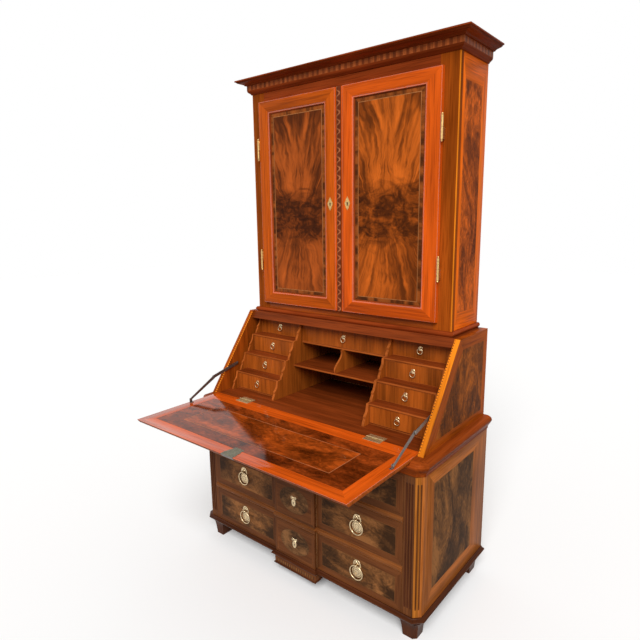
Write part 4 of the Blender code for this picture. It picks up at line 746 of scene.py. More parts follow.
def wood(name, tone, axis, figure, fineness, lean=0.0):
    """Polished straight-grained wood: broad figure, fine fibre and dark pores along one axis."""
    paint = Paint(name, *polish_of(name))
    ground = paint.place((1.0, 1.0, 1.0), turn=(lean, 0.0, 0.0))
    broad = paint.noise(paint.place(along(axis, 7.0), source=ground), BROAD_FIGURE, fineness)
    streak = paint.noise(paint.place(along(axis, 22.0), source=ground), STREAKS, fineness)
    pores = paint.noise(paint.place(along(axis, 30.0), source=ground), PORES, fineness)
    value = paint.maths("MULTIPLY_ADD", broad, figure, (1.0 - figure) / 2)
    value = paint.maths("ADD", value, paint.swing(streak, 0.55))
    colour = paint.mix(0.7, paint.shade(value, tone, WOOD_SHADES), paint.ramp(pores, PORE_STOPS), "MULTIPLY")
    paint.bump(streak, WOOD_RELIEF)
    return paint.done(colour)


def figured(name, tone, centre, reach):
    """Crotch veneer laid in two mirrored leaves: flames that fan out of a dark burl heart."""
    paint = Paint(name, *polish_of(name))
    ground = paint.ground()
    places = paint.split(ground)
    drift = paint.swing(paint.noise(ground, DRIFT), reach * 0.16)
    across = paint.maths("SUBTRACT", places[ACROSS], centre.x)
    across = paint.maths("ABSOLUTE", paint.maths("ADD", across, drift))
    up = paint.maths("SUBTRACT", places[UP], centre.z - reach * HEART_DROP)
    away = paint.maths("ABSOLUTE", paint.maths("ADD", up, drift))
    widening = paint.maths("ADD", paint.maths("MULTIPLY", away, 1.0 / reach), 0.30)
    field = paint.node("ShaderNodeCombineXYZ")
    paint.join(paint.maths("DIVIDE", across, widening), field.inputs["X"])
    paint.join(paint.maths("MULTIPLY", away, 0.22), field.inputs["Y"])
    paint.join(paint.maths("GREATER_THAN", up, 0.0), field.inputs["Z"])
    fan = field.outputs["Vector"]
    flames = paint.noise(fan, FLAMES)
    fibre = paint.noise(paint.place((1.0, 0.3, 1.0), source=fan), FLAME_FIBRE)
    knots = paint.noise(paint.place((1.0, 1.0, 1.7)), KNOTS)
    specks = paint.noise(ground, SPECKS)
    clouds = paint.noise(paint.place((1.0, 1.0, 0.55)), CLOUDS)
    value = paint.maths("ADD", paint.maths("MULTIPLY", flames, 0.95), paint.swing(fibre, 0.40))
    value = paint.maths("ADD", value, paint.swing(clouds, 0.45))
    light = paint.shade(value, tone, FLAME_SHADES)
    dark = paint.shade(paint.maths("ADD", knots, paint.swing(specks, 0.5)), tone, HEART_SHADES)
    edge = paint.span(paint.maths("ADD", away, paint.swing(knots, reach * 0.42)), "SMOOTHSTEP",
                      from_min=reach * 0.12, from_max=reach * 0.40)
    paint.bump(fibre, FLAME_RELIEF)
    return paint.done(paint.mix(edge, dark, light))


def burl(name, tone, run, scale, ends):
    """Burl veneer: pools of dark and gold that wind along one axis, darker at the ends of a drawer."""
    paint = Paint(name, *polish_of(name))
    pools = paint.noise(paint.place(along(run, 1.9)), POOLS, scale)
    curls = paint.noise(paint.place(along(run, 1.6)), CURLS, scale)
    value = paint.maths("ADD", pools, paint.swing(curls, 0.55))
    if ends:
        middle, reach = ends
        off = paint.maths("ABSOLUTE", paint.split(paint.ground())[ACROSS])
        off = paint.maths("ABSOLUTE", paint.maths("SUBTRACT", off, middle))
        fade = paint.span(off, "SMOOTHSTEP", from_min=reach * 0.35, from_max=reach, to_min=0.05, to_max=-0.14)
        value = paint.maths("ADD", value, fade)
    paint.bump(curls, BURL_RELIEF)
    return paint.done(paint.shade(value, tone, BURL_SHADES))


def crossband(name, tone, axis):
    """Short-grained banding whose blocks of light and dark lie along one axis."""
    paint = Paint(name, *polish_of(name))
    squeeze = [0.25, 0.25, 0.25]
    squeeze[axis] = 1.0
    blocks = paint.noise(paint.place(squeeze), BAND_BLOCKS)
    fibre = paint.noise(paint.place(squeeze), BAND_FIBRE)
    return paint.done(paint.shade(paint.maths("ADD", blocks, paint.swing(fibre, 0.3)), tone, BAND_SHADES))


def dentils(name, tones, axis, pitch):
    """Inlaid blocks, light and dark by turns along one axis."""
    paint = Paint(name, *polish_of(name))
    light, dark = tones
    beat = paint.maths("FRACT", paint.maths("MULTIPLY", paint.split(paint.ground())[axis], 0.5 / pitch))
    step = paint.maths("GREATER_THAN", beat, 0.45)
    grain = paint.noise(paint.place(along(UP, 12.0)), DENTIL_GRAIN)
    pale = paint.shade(grain, light, PALE_DENTIL_SHADES)
    return paint.done(paint.mix(step, paint.shade(grain, dark, DEEP_DENTIL_SHADES), pale))


def metal(name, tone, roughness, tarnish):
    """Handled metal, darker and duller where it is seldom touched."""
    paint = Paint(name, roughness, metallic=1.0)
    cloud = paint.noise(paint.place((1, 1, 1)), TARNISH)
    fine = paint.noise(paint.place((1, 1, 1)), HANDLING)
    dull = paint.span(cloud, to_min=roughness + 0.18, to_max=roughness)
    paint.join(dull, paint.shader.inputs["Roughness"])
    paint.bump(fine, METAL_RELIEF)
    return paint.done(paint.shade(cloud, tone, zip(TARNISH_PLACES, (1.0 - tarnish, 1.0))))


def softwood(name, tone):
    """Plain sawn pine: planks with wide bands, no polish."""
    paint = Paint(name, PINE_ROUGHNESS, specular=SHEEN)
    broad = paint.noise(paint.place(along(UP, 10.0)), PINE_BANDS)
    fibre = paint.noise(paint.place(along(UP, 25.0)), PINE_FIBRE)
    value = paint.maths("ADD", paint.maths("MULTIPLY", broad, 0.8), paint.maths("MULTIPLY", fibre, 0.2))
    run = paint.maths("MULTIPLY", paint.split(paint.ground())[ACROSS], 1.0 / PLANK)
    odd = paint.maths("FRACT", paint.maths("MULTIPLY", paint.maths("FLOOR", run), 0.37))
    value = paint.maths("ADD", value, paint.swing(odd, 0.10))
    off = paint.maths("ABSOLUTE", paint.maths("SUBTRACT", paint.maths("FRACT", run), 0.5))
    joint = paint.maths("GREATER_THAN", off, 0.5 - JOINT_SHARE)
    paint.bump(fibre, PINE_RELIEF)
    return paint.done(paint.mix(joint, paint.shade(value, tone, PINE_SHADES), tint(tone, JOINT_SHADE)))


def paper(name):
    """Studio floor: white where it is seen or mirrored, dimmer where it only lights the wood."""
    paint = Paint(name, 1.0, specular=0.0)
    path = paint.node("ShaderNodeLightPath")
    seen = paint.maths("MAXIMUM", path.outputs["Is Camera Ray"], path.outputs["Is Glossy Ray"])
    seen = paint.maths("MAXIMUM", seen, path.outputs["Is Transmission Ray"])
    return paint.done(paint.mix(seen, FLOOR_BOUNCE, FLOOR_TONE))


def hole(name):
    """The dark inside of a keyhole, one flat colour."""
    paint = Paint(name, HOLE_ROUGHNESS)
    paint.shader.inputs["Base Color"].default_value = (*HOLE_TONE, 1.0)
    return paint.material


FINISHES = {}


def finish(name):
    """A finish by name, mixed when it is first asked for."""
    if name not in FINISHES:
        FINISHES[name] = mix_finish(name)
    return FINISHES[name]


def mix_finish(name):
    """Mix a finish; a grained one ends in the axis of its grain, where s is along the slant."""
    if name in BURLS:
        return burl(name, *BURLS[name])
    if name in METALS:
        tone, roughness, tarnish = METALS[name]
        return metal(name, tone_of(tone), roughness, tarnish)
    base, _, letter = name.rpartition("_")
    axis = {"x": ACROSS, "y": DEEP}.get(letter, UP)
    if base in WOODS:
        tone, figure, fineness = WOODS[base]
        tone = tone_of(tone)
        # Level-grained door-frame wood is made darker: partly its own tone, partly painted shade.
        if base in DOOR_BOARDS.values() and axis != UP:
            tone = tint(tone, LEVEL_TONE_AND_PAINTED_SHADE)
        return wood(name, tone, axis, figure, fineness, math.pi / 2 - SLANT if letter == "s" else 0.0)
    if base == "crossband":
        return crossband(name, CROSSBAND_TONE, axis)
    if base == "dentil":
        return dentils(name, DENTIL_TONES, axis, sizes().dentil)
    if base == "fine_dentil":
        return dentils(name, FINE_DENTIL_TONES, axis, sizes().dentil * FINE_DENTIL)
    if name == "stringing":
        return wood(name, STRINGING_TONE, UP, 0.2, 1.0)
    if name == "pine":
        return softwood(name, PINE_TONE)
    return {"shadow": hole, "floor": paper}[name](name)


def at(x, depth, z):
    """A place given by its depth from the wall."""
    return Vector((x, WALL_Y - depth, z))


def between(depths):
    """The stretch of the deep axis between two depths from the wall."""
    near, far = depths
    return WALL_Y - far, WALL_Y - near


def turns(steps, start=0, sweep=360, closed=False):
    """Angles along an arc in equal steps; a closed round leaves out its last angle."""
    count = steps if closed else steps + 1
    return [math.radians(start + sweep * k / steps) for k in range(count)]


def facing(faces, direction):
    """The largest of these faces that looks one way."""
    for face in faces:
        face.normal_update()
    looking = [face for face in faces if face.normal.dot(Vector(direction)) > 0.99]
    return max(looking, key=lambda face: face.calc_area())


def grained(name, run):
    """A finish whose grain, if it has one, follows the axis nearest to a direction."""
    if name not in GRAINED:
        return name
    lengths = [abs(part) for part in run]
    return name + "_" + "xyz"[lengths.index(max(lengths))]


def mirrored(half):
    """The other half of a symmetrical outline, in running order."""
    return [(-across, other) for across, other in reversed(half)]


class Piece:
    """One new piece under construction: its mesh and the finishes on its faces."""

    def __init__(self, name):
        self.name = name
        self.mesh = bmesh.new()
        self.finishes = []

    def paint(self, faces, name):
        """Give faces one finish."""
        if name not in self.finishes:
            self.finishes.append(name)
        index = self.finishes.index(name)
        for face in faces:
            face.material_index = index

    def band(self, faces, name):
        """Give each face a finish whose grain follows its longest edge."""
        for face in faces:
            longest = max(face.edges, key=lambda edge: edge.calc_length())
            self.paint([face], grained(name, longest.verts[1].co - longest.verts[0].co))

    def board(self, low, high, name, edge=None):
        """A board between two corners, with softened edges."""
        before = set(self.mesh.faces)
        corners = [Vector(corner) for corner in zip(*[sorted(pair) for pair in zip(low, high)])]
        size = corners[1] - corners[0]
        place = Matrix.Translation((corners[0] + corners[1]) / 2) @ Matrix.Diagonal((*size, 1.0))
        made = bmesh.ops.create_cube(self.mesh, size=1.0, matrix=place)
        edges = {edge for vert in made["verts"] for edge in vert.link_edges}
        reach = min(sizes().edge if edge is None else edge, min(size) * 0.4)
        bmesh.ops.bevel(self.mesh, geom=list(edges), offset=reach, offset_type="OFFSET", segments=2,
                        profile=0.5, affect="EDGES", material=-1)
        faces = [face for face in self.mesh.faces if face not in before]
        self.paint(faces, name)
        return faces

    def inlay(self, face, bands):
        """Bands round a face from its edge inwards, each (width, drop, finish)."""
        for width, drop, name in bands:
            made = bmesh.ops.inset_region(self.mesh, faces=[face], thickness=width, depth=-drop,
                                          use_even_offset=True)
            self.band(made["faces"], name)

    def window(self, face, places, name):
        """A mitred border round a face, whose middle fills the given span along each axis."""
        middle = face.calc_center_median()
        made = bmesh.ops.inset_region(self.mesh, faces=[face], thickness=0.001, use_even_offset=True)
        for vert in face.verts:
            for axis, (low, high) in places.items():
                vert.co[axis] = low if vert.co[axis] < middle[axis] else high
        self.band(made["faces"], name)

    def skin(self, rows, name, round_rows=False, round_columns=False, caps=None):
        """A surface through rows of points; the finish may be a function of row and column."""
        if round_columns:
            rows = [list(row) + [row[0]] for row in rows]
        if round_rows:
            rows = list(rows) + [rows[0]]
        across = len(rows[0]) - 1
        up = len(rows) - 1
        made = bmesh.ops.create_grid(self.mesh, x_segments=across, y_segments=up, size=1.0)
        faces = {face for vert in made["verts"] for face in vert.link_faces}
        for face in faces:
            centre = face.calc_center_median()
            if isinstance(name, str):
                self.paint([face], name)
            else:
                self.paint([face], name(int((centre.y + 1) / 2 * up), int((centre.x + 1) / 2 * across)))
        for vert in made["verts"]:
            vert.co = rows[round((vert.co.y + 1) / 2 * up)][round((vert.co.x + 1) / 2 * across)]
        bmesh.ops.remove_doubles(self.mesh, verts=made["verts"], dist=1e-6)
        faces = [face for face in faces if face.is_valid]
        ends = []
        if caps:
            rims = {edge for face in faces for edge in face.edges if edge.is_boundary}
            filled = bmesh.ops.holes_fill(self.mesh, edges=list(rims), sides=0)
            ends = filled["faces"]
            self.paint(ends, caps)
            bmesh.ops.recalc_face_normals(self.mesh, faces=faces + ends)
        return ends

    def stack(self, outline, levels, name, caps):
        """A solid whose plan grows and shrinks with height, as mouldings do."""
        rows = [[at(x, depth, z) for x, depth in outline(out)] for out, z in levels]
        first = rows[0]

        def chosen(row, column):
            base = name if isinstance(name, str) else name(row)
            return grained(base, first[(column + 1) % len(first)] - first[column])

        self.skin(rows, chosen, round_columns=True, caps=caps)

    def frame(self, outer, inner, profile, name):
        """A mitred frame in the plane of the doors; profile points are (share, inward, depth)."""
        rows = []
        for (x0, z0), (x1, z1) in zip(outer, inner):
            way_x = math.copysign(1.0, x1 - x0)
            way_z = math.copysign(1.0, z1 - z0)
            rows.append([at(x0 + (x1 - x0) * share + way_x * inward, depth,
                            z0 + (z1 - z0) * share + way_z * inward) for share, inward, depth in profile])

        def chosen(row, column):
            return grained(name(column), rows[(row + 1) % len(rows)][0] - rows[row][0])

        self.skin(rows, chosen, round_rows=True, round_columns=True)

    def tube(self, path, normal, wide, thick, name, sides=10, closed=False):
        """A round or flattened bar along a path that lies in the plane of the normal."""
        normal = Vector(normal)
        count = len(path)
        rows = []
        for i, point in enumerate(path):
            before = path[i - 1] if i or closed else path[i]
            after = path[(i + 1) % count] if i + 1 < count or closed else path[i]
            side = normal.cross((after - before).normalized())
            rows.append([point + side * wide * math.cos(turn) + normal * thick * math.sin(turn)
                         for turn in turns(sides, closed=True)])
        self.skin(rows, name, round_rows=closed, round_columns=True, caps=None if closed else name)

    def turned(self, centre, axis, profile, name, steps=24, caps="brass"):
        """A turned form: profile points are (radius, distance along the axis)."""
        axis = Vector(axis)
        first = axis.orthogonal().normalized()
        second = axis.cross(first)
        rows = []
        for radius, rise in profile:
            rows.append([centre + axis * rise + first * radius * math.cos(turn)
                         + second * radius * math.sin(turn) for turn in turns(steps, closed=True)])
        self.skin(rows, name, round_columns=True, caps=name if isinstance(name, str) else caps)

    def plate(self, outline, place, levels, name):
        """A flat plate; place turns (across, up, rise) into a point, and levels are (low, high, chamfer)."""
        low, high, chamfer = levels
        middle_x = sum(x for x, _ in outline) / len(outline)
        middle_z = sum(z for _, z in outline) / len(outline)
        reach = max(math.hypot(x - middle_x, z - middle_z) for x, z in outline)
        shrink = 1.0 - chamfer / reach
        rows = []
        for share, rise in ((1.0, low), (1.0, high - chamfer), (shrink, high)):
            rows.append([place(middle_x + (x - middle_x) * share, middle_z + (z - middle_z) * share, rise)
                         for x, z in outline])
        self.skin(rows, name, round_columns=True, caps=name)

    def done(self, body, *replaced, slot="walnut", angle=38.0):
        """Make the object, hang it on its body and let it stand for the CAD nodes."""
        bmesh.ops.recalc_face_normals(self.mesh, faces=self.mesh.faces)
        data = bpy.data.meshes.new(self.name)
        self.mesh.to_mesh(data)
        self.mesh.free()
        for name in self.finishes:
            data.materials.append(finish(name))
        data.shade_smooth()
        data.set_sharp_from_angle(angle=math.radians(angle))
        made = bpy.data.objects.new(self.name, data)
        bpy.context.scene.collection.objects.link(made)
        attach(made, body)
        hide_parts(*replaced)


def repaint(node, name):
    """Give a CAD node whose shape is right one of the finishes."""
    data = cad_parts[node].data
    for index in range(len(data.materials)):
        data.materials[index] = finish(name)


def cant_at(out):
    """Width of the canted corner on a plan that is grown by so much."""
    return sizes().cant + out * (2 - math.sqrt(2))


def commode_outline(out):
    """Plan of the commode: canted corners and a centre that stands forward."""
    wide = COMMODE_X + out
    front = FRONT_DEPTH + out
    middle = sizes().break_x + out
    half = [(wide, 0), (wide, front - cant_at(out)), (wide - cant_at(out), front), (middle, front),
            (middle, front + sizes().break_out)]
    return half + mirrored(half)


def cupboard_outline(out):
    """Plan of the cupboard, with its back against the wall."""
    wide = CUPBOARD_X + out
    front = CUPBOARD_DEPTH + out
    return [(wide, 0), (wide, front), (-wide, front), (-wide, 0)]


def block_outline(out):
    """Plan of the bead round the block under the centre."""
    wide = sizes().break_x + BLOCK_OUT + out
    front = FRONT_DEPTH + sizes().break_out + BLOCK_OUT + out
    back = FRONT_DEPTH + sizes().break_out - BLOCK_DEEP
    return [(wide, back), (wide, front), (-wide, front), (-wide, back)]


def rail_outline(out):
    """Plan of a drawer rail between the corner posts."""
    middle = sizes().break_x + out
    half = [(POST_X, FRONT_DEPTH - RAIL_DEPTH), (POST_X, FRONT_DEPTH + out), (middle, FRONT_DEPTH + out),
            (middle, FRONT_DEPTH + out + sizes().break_out)]
    return half + mirrored(half)


def strip_outline(side):
    """Plan of the strip beside the desk on one side, for any growth."""
    inner = DESK_X + SLACK

    def outline(out):
        wide = COMMODE_X + out
        front = FRONT_DEPTH + out
        plan = [(inner, 0), (wide, 0), (wide, front - cant_at(out)), (wide - cant_at(out), front),
                (DESK_INNER_X, front), (DESK_INNER_X, SIDE_FOOT_DEPTH), (inner, SIDE_FOOT_DEPTH)]
        return [(side * x, depth) for x, depth in plan]

    return outline


def shifted(profile, z):
    """Profile points lifted to a height."""
    return [(out, z + up) for out, up in profile]


def foot_plan(half, cant):
    """Plan of a foot about its middle; a front foot has its outer corner canted."""
    corner = [(half, half - cant), (half - cant, half)] if cant else [(half, half)]
    return [(-half, -half), (half, -half), *corner, (-half, half)]


def dress_base():
    """Base moulding, centre block with its dentil band, and four bracket feet."""
    piece = Piece("base_and_feet_dressed")
    piece.stack(commode_outline, shifted(BASE_PROFILE, FOOT_Z), "foot", "foot_x")
    foot = FOOT_Z - BLOCK_DROP
    piece.stack(block_outline, shifted(BLOCK_PROFILE, foot), "foot", "foot_x")
    wide = sizes().break_x + BLOCK_OUT
    front = FRONT_DEPTH + sizes().break_out
    block = piece.board(at(wide, front + BLOCK_OUT, foot + BLOCK_BEAD),
                        at(-wide, front - BLOCK_DEEP, FOOT_Z + SEAT), "brown_x")
    face = facing(block, FORWARD)
    band = sizes().break_x - BLOCK_BAND_IN
    piece.window(face, {ACROSS: (-band, band), UP: (foot + BLOCK_BAND_RISE, FOOT_Z - BLOCK_BAND_DROP)},
                 "brown")
    piece.inlay(face, BLOCK_BANDS)
    piece.paint([face], "fine_dentil_x")
    for side, _ in SIDES:
        for middle, cant in ((FRONT_DEPTH - FOOT_INSET, FOOT_CANT), (FOOT_INSET, 0.0)):
            rows = []
            for half, z in FOOT_LEVELS:
                rows.append([at(side * (COMMODE_X - FOOT_INSET + x), middle + deep, z)
                             for x, deep in foot_plan(half, cant)])
            piece.skin(rows, "foot_z", round_columns=True, caps="foot_z")
    piece.done("case", "base_and_feet", slot="dark_walnut")


def post_plan(sink, side):
    """Plan of a corner post: flutes in its front and canted faces; returns points and flute marks."""
    start = (POST_X, FRONT_DEPTH)
    corner = (COMMODE_X - sizes().cant, FRONT_DEPTH)
    end = (COMMODE_X, FRONT_DEPTH - sizes().cant)
    points = [(POST_X, FRONT_DEPTH - POST_DEPTH), start]
    marks = [False, False]
    for (x0, d0), (x1, d1), shares in ((start, corner, FRONT_FLUTES), (corner, end, CANT_FLUTES)):
        run = Vector((x1 - x0, d1 - d0))
        length = run.length
        inward = Vector((-run.y, run.x)).normalized()
        if inward.y > 0:
            inward = -inward
        for share, width in shares:
            for k in range(FLUTE_STEPS + 1):
                offset = (k / FLUTE_STEPS - 0.5) * width
                fall = math.sqrt(max(0.0, 1 - (2 * k / FLUTE_STEPS - 1) ** 2)) * FLUTE_DEPTH * sink
                place = Vector((x0, d0)) + run * (share + offset / length) + inward * fall
                points.append((place.x, place.y))
                marks.append(k < FLUTE_STEPS)
        points.append((x1, d1))
        marks.append(False)
    points.append((COMMODE_X, FRONT_DEPTH - POST_DEPTH))
    marks.append(False)
    return [at(side * x, depth, 0) for x, depth in points], marks


def dress_commode_side(side, word):
    """One side of the commode: its burl panel and its fluted corner post."""
    piece = Piece("commode_side_" + word + "_dressed")
    board = piece.board(at(side * (COMMODE_X - SIDE_BOARD), 0, BASE_TOP_Z),
                        at(side * COMMODE_X, FRONT_DEPTH - POST_DEPTH, COMMODE_TOP_Z), "amber_z", SIDE_EDGE)
    face = facing(board, (side, 0, 0))
    piece.window(face, {DEEP: between(COMMODE_PANEL_DEPTHS), UP: COMMODE_PANEL_HEIGHTS}, "amber")
    piece.paint([face], "commode_burl")
    levels = [(0.0, BASE_TOP_Z)]
    levels += [(sink, BASE_TOP_Z + FLUTE_STOP + FLUTE_RUN * up) for sink, up in FLUTE_ENDS]
    levels += [(sink, COMMODE_TOP_Z - FLUTE_STOP - FLUTE_RUN * up) for sink, up in reversed(FLUTE_ENDS)]
    levels.append((0.0, COMMODE_TOP_Z))
    rows = []
    for sink, z in levels:
        points, marks = post_plan(sink, side)
        rows.append([Vector((point.x, point.y, z)) for point in points])
    corner = len(FRONT_FLUTES) * (FLUTE_STEPS + 1) + 2

    def chosen(row, column):
        # Faces inside the flutes are painted darker than the post round them: painted shade in the grooves.
        if 0 < row < len(rows) - 2 and marks[column]:
            return "foot_z" if column < corner else "brown_z"
        if column < 1 or column > corner + FLUTE_STEPS + 2:
            return "amber_z"
        return "post_z" if column < corner else "strip_z"

    piece.skin(rows, chosen, round_columns=True, caps="post_z")
    piece.done("case", "commode_side_" + word, slot="golden_walnut")


def dress_drawer_frame(word):
    """A drawer rail with its bead, and the dust board behind it."""
    low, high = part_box("drawer_frame_" + word)
    piece = Piece("drawer_frame_" + word + "_dressed")
    rise = high.z - low.z
    piece.stack(rail_outline, [(out, low.z + rise * up) for out, up in RAIL_BEAD], "rail", "rail_x")
    reach = COMMODE_X - SIDE_BOARD - DUST_SIDE_GAP
    piece.board(at(-reach, DUST_BACK, high.z - DUST_BOARD),
                at(reach, FRONT_DEPTH - POST_DEPTH - DUST_FRONT_GAP, high.z), "pine")
    piece.done("case", "drawer_frame_" + word, slot="walnut")


def dress_commode_top():
    """Top rail and top board of the commode, with the strips that hold the desk."""
    piece = Piece("commode_top_dressed")
    rail_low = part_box("commode_top")[0].z
    piece.stack(rail_outline, [(0.0, rail_low), (0.0, COMMODE_TOP_Z + SEAT)], "brown", "brown_x")
    levels = [(out, COMMODE_TOP_Z + TOP_RISE * up) for out, up in TOP_PROFILE]
    piece.stack(commode_outline, levels, "mahogany", "mahogany_x")
    strip_low = COMMODE_TOP_Z + TOP_RISE - SEAT
    levels = [(STRIP_OUT - STRIP_ROUND * (1 - math.cos(turn)), strip_low + STRIP_HEIGHT * math.sin(turn))
              for turn in turns(STRIP_STEPS, sweep=90)]
    for side, _ in SIDES:
        piece.stack(strip_outline(side), levels, "mahogany", "mahogany_y")
    piece.done("case", "commode_top", slot="walnut")


def dress_commode():
    """Panelled sides with fluted posts, drawer rails, top board with its strips."""
    for side, word in SIDES:
        dress_commode_side(side, word)
    for word in ("lower", "middle"):
        dress_drawer_frame(word)
    dress_commode_top()
    repaint("commode_and_desk_back", "pine")


def forward(depth):
    """Turns plate points into places on a front at one depth."""
    return lambda x, z, rise: at(x, depth + rise, z)


def oval(x, z, half_x, half_z, steps=24):
    """Outline of an oval."""
    return [(x + half_x * math.cos(turn), z + half_z * math.sin(turn)) for turn in turns(steps, closed=True)]


def keyhole(x, z, radius, tail):
    """Outline of a keyhole: a round top over a narrow slot."""
    outline = [(x + radius * math.cos(turn), z + radius * math.sin(turn)) for turn in turns(*KEYHOLE_ARC)]
    return outline + [(x - radius * KEYHOLE_SLOT, z - tail), (x + radius * KEYHOLE_SLOT, z - tail)]


def key_plate(piece, outline, opening, front, name):
    """A key plate on a front, with its dark keyhole."""
    piece.plate(outline, forward(front), KEY_PLATE_LEVELS, name)
    piece.plate(opening, forward(front + KEYHOLE_RISE), KEYHOLE_LEVELS, "shadow")


def ribbon(piece, x, depth, z, start, loop, thick, steps):
    """The two loops of a brass ribbon, one each way from its middle."""
    for way, _ in SIDES:
        path = [at(x + way * (start + loop[0] * math.sin(turn)), depth, z + loop[1] * math.sin(2 * turn))
                for turn in turns(steps, sweep=180)]
        piece.tube(path, (0, 1, 0), *thick, "brass", RIBBON_SIDES)


def ring_eye(piece, x, front, z, stand, reach, thick, steps):
    """The staple that a ring hangs in."""
    path = [at(x, front, z - reach)]
    path += [at(x, front + stand + reach * math.cos(turn), z + reach * math.sin(turn))
             for turn in turns(steps, -90, 180)]
    path.append(at(x, front, z + reach))
    piece.tube(path, (1, 0, 0), *thick, "brass", BAR_SIDES)


def hanging_ring(name, place, radius, thick, steps, sides):
    """A ring about a place given as (x, depth, z)."""
    x, depth, z = place
    path = [at(x + radius * math.sin(turn), depth, z + radius * math.cos(turn))
            for turn in turns(steps, closed=True)]
    piece = Piece(name + "_dressed")
    piece.tube(path, (0, 1, 0), thick, thick, "brass", sides, True)
    piece.done(name, name, slot="brass")


def dress_long_drawer(word):
    """One long drawer: a veneered front on each side of the centre block, and a pine box behind."""
    name = "long_drawer_" + word
    low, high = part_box(name)
    block = sizes().break_x
    behind = FRONT_DEPTH - LONG_FRONT
    inside = high.x - LONG_SIDE
    wall = high.z - WALL_DROP
    piece = Piece(name + "_dressed")
    for side, _ in SIDES:
        board = piece.board(at(side * block, FRONT_DEPTH, low.z), at(side * high.x, behind, high.z),
                            "brown_x", FRONT_EDGE)
        face = facing(board, FORWARD)
        piece.inlay(face, LONG_BANDS)
        piece.paint([face], "drawer_burl")
    piece.board(at(-block, FRONT_DEPTH, low.z), at(block, behind, high.z), "pine")
    for side, _ in SIDES:
        piece.board(at(side * high.x, LONG_BACK, low.z), at(side * inside, behind, wall), "pine")
    piece.board(at(-inside, LONG_BACK, low.z), at(inside, LONG_BACK + LONG_SIDE, wall), "pine")
    piece.board(at(-inside, LONG_BACK + LONG_SIDE, low.z), at(inside, behind, low.z + LONG_FLOOR), "pine")
    piece.done(name, name, slot="walnut")


def dress_centre_block(word):
    """The centre block of a long drawer: banding, burl oval, key plate and ribbon."""
    name = "long_drawer_" + word
    low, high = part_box(name)
    middle_z = (low.z + high.z) / 2
    front = FRONT_DEPTH + sizes().break_out
    piece = Piece("centre_block_" + word + "_dressed")
    board = piece.board(at(-sizes().break_x, front, low.z), at(sizes().break_x, FRONT_DEPTH + HAIR, high.z),
                        "brown_x", BLOCK_EDGE)
    face = facing(board, FORWARD)
    piece.inlay(face, CENTRE_BANDS)
    piece.paint([face], "brown_x")
    half_z = (high.z - low.z) * OVAL_SHARE
    place = forward(front - HAIR)
    piece.plate(oval(0, middle_z, OVAL_X, half_z, OVAL_STEPS), place, OVAL_LEVELS, "post_x")
    piece.plate(oval(0, middle_z, OVAL_X - OVAL_LINE, half_z - OVAL_LINE, OVAL_STEPS), place,
                OVAL_FIELD_LEVELS, "oval_burl")
    front += CENTRE_KEY_RISE
    key_z = middle_z - LONG_KEY_DROP
    key_plate(piece, oval(0, key_z, *LONG_KEY_HALF), keyhole(0, key_z, *LONG_KEYHOLE), front, "brass")
    ribbon(piece, 0, front + RIBBON_RISE, key_z + LONG_KEY_HALF[1] + KEY_RIBBON_UP, **KEY_RIBBON)
    piece.done(name, "centre_block_" + word, slot="walnut")


def dress_pull(word, side, hand):
    """One ring pull: its plate with arch, ribbon, beads and staple, and its ring."""
    ring_name = "ring_" + word + "_" + hand
    low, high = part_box(ring_name)
    x = side * PULL_X
    ring_z = (low.z + high.z) / 2
    eye_z = ring_z + PULL_RING
    knot_z = eye_z + PULL_RIBBON_UP
    piece = Piece("pull_plate_" + word + "_" + hand + "_dressed")
    # The recess rows of the plate take dark brass: painted shade.
    piece.turned(at(x, FRONT_DEPTH, ring_z), FORWARD, PULL_DOME,
                 lambda row, column: "tarnish" if row in PULL_SHADED_RECESS else "brass", DOME_STEPS)
    arch = [at(x + ARCH_X * math.cos(turn), FRONT_DEPTH + ARCH_RISE, eye_z + ARCH_Z * math.sin(turn))
            for turn in turns(*ARCH_ARC)]
    piece.tube(arch, (0, 1, 0), *ARCH_THICK, "brass", BAR_SIDES)
    ribbon(piece, x, FRONT_DEPTH + RIBBON_RISE, knot_z, **PULL_RIBBON)
    piece.turned(at(x, FRONT_DEPTH, knot_z), FORWARD, KNOT_DOME, "brass", KNOT_STEPS)
    for way, _ in SIDES:
        for k in range(BEADS):
            turn = math.radians(BEAD_FIRST + BEAD_TURN * k)
            place = at(x + way * BEAD_RADIUS * math.sin(turn), FRONT_DEPTH,
                       ring_z + BEAD_RADIUS * math.cos(turn))
            piece.turned(place, FORWARD, BEAD_DOME, "brass", BEAD_STEPS)
    ring_eye(piece, x, FRONT_DEPTH, eye_z, PULL_STAND, **PULL_EYE)
    piece.done("long_drawer_" + word, "pull_plate_" + word + "_" + hand, slot="brass")
    hanging_ring(ring_name, (x, FRONT_DEPTH + PULL_STAND, ring_z), PULL_RING, PULL_TUBE, sizes().ring_steps,
                 PULL_RING_SIDES)


def dress_long_drawers():
    """Three long drawers: veneered fronts, pine cases, key plates and ring pulls."""
    for word in LONG_WORDS:
        dress_long_drawer(word)
        dress_centre_block(word)
        for side, hand in SIDES:
            dress_pull(word, side, hand)


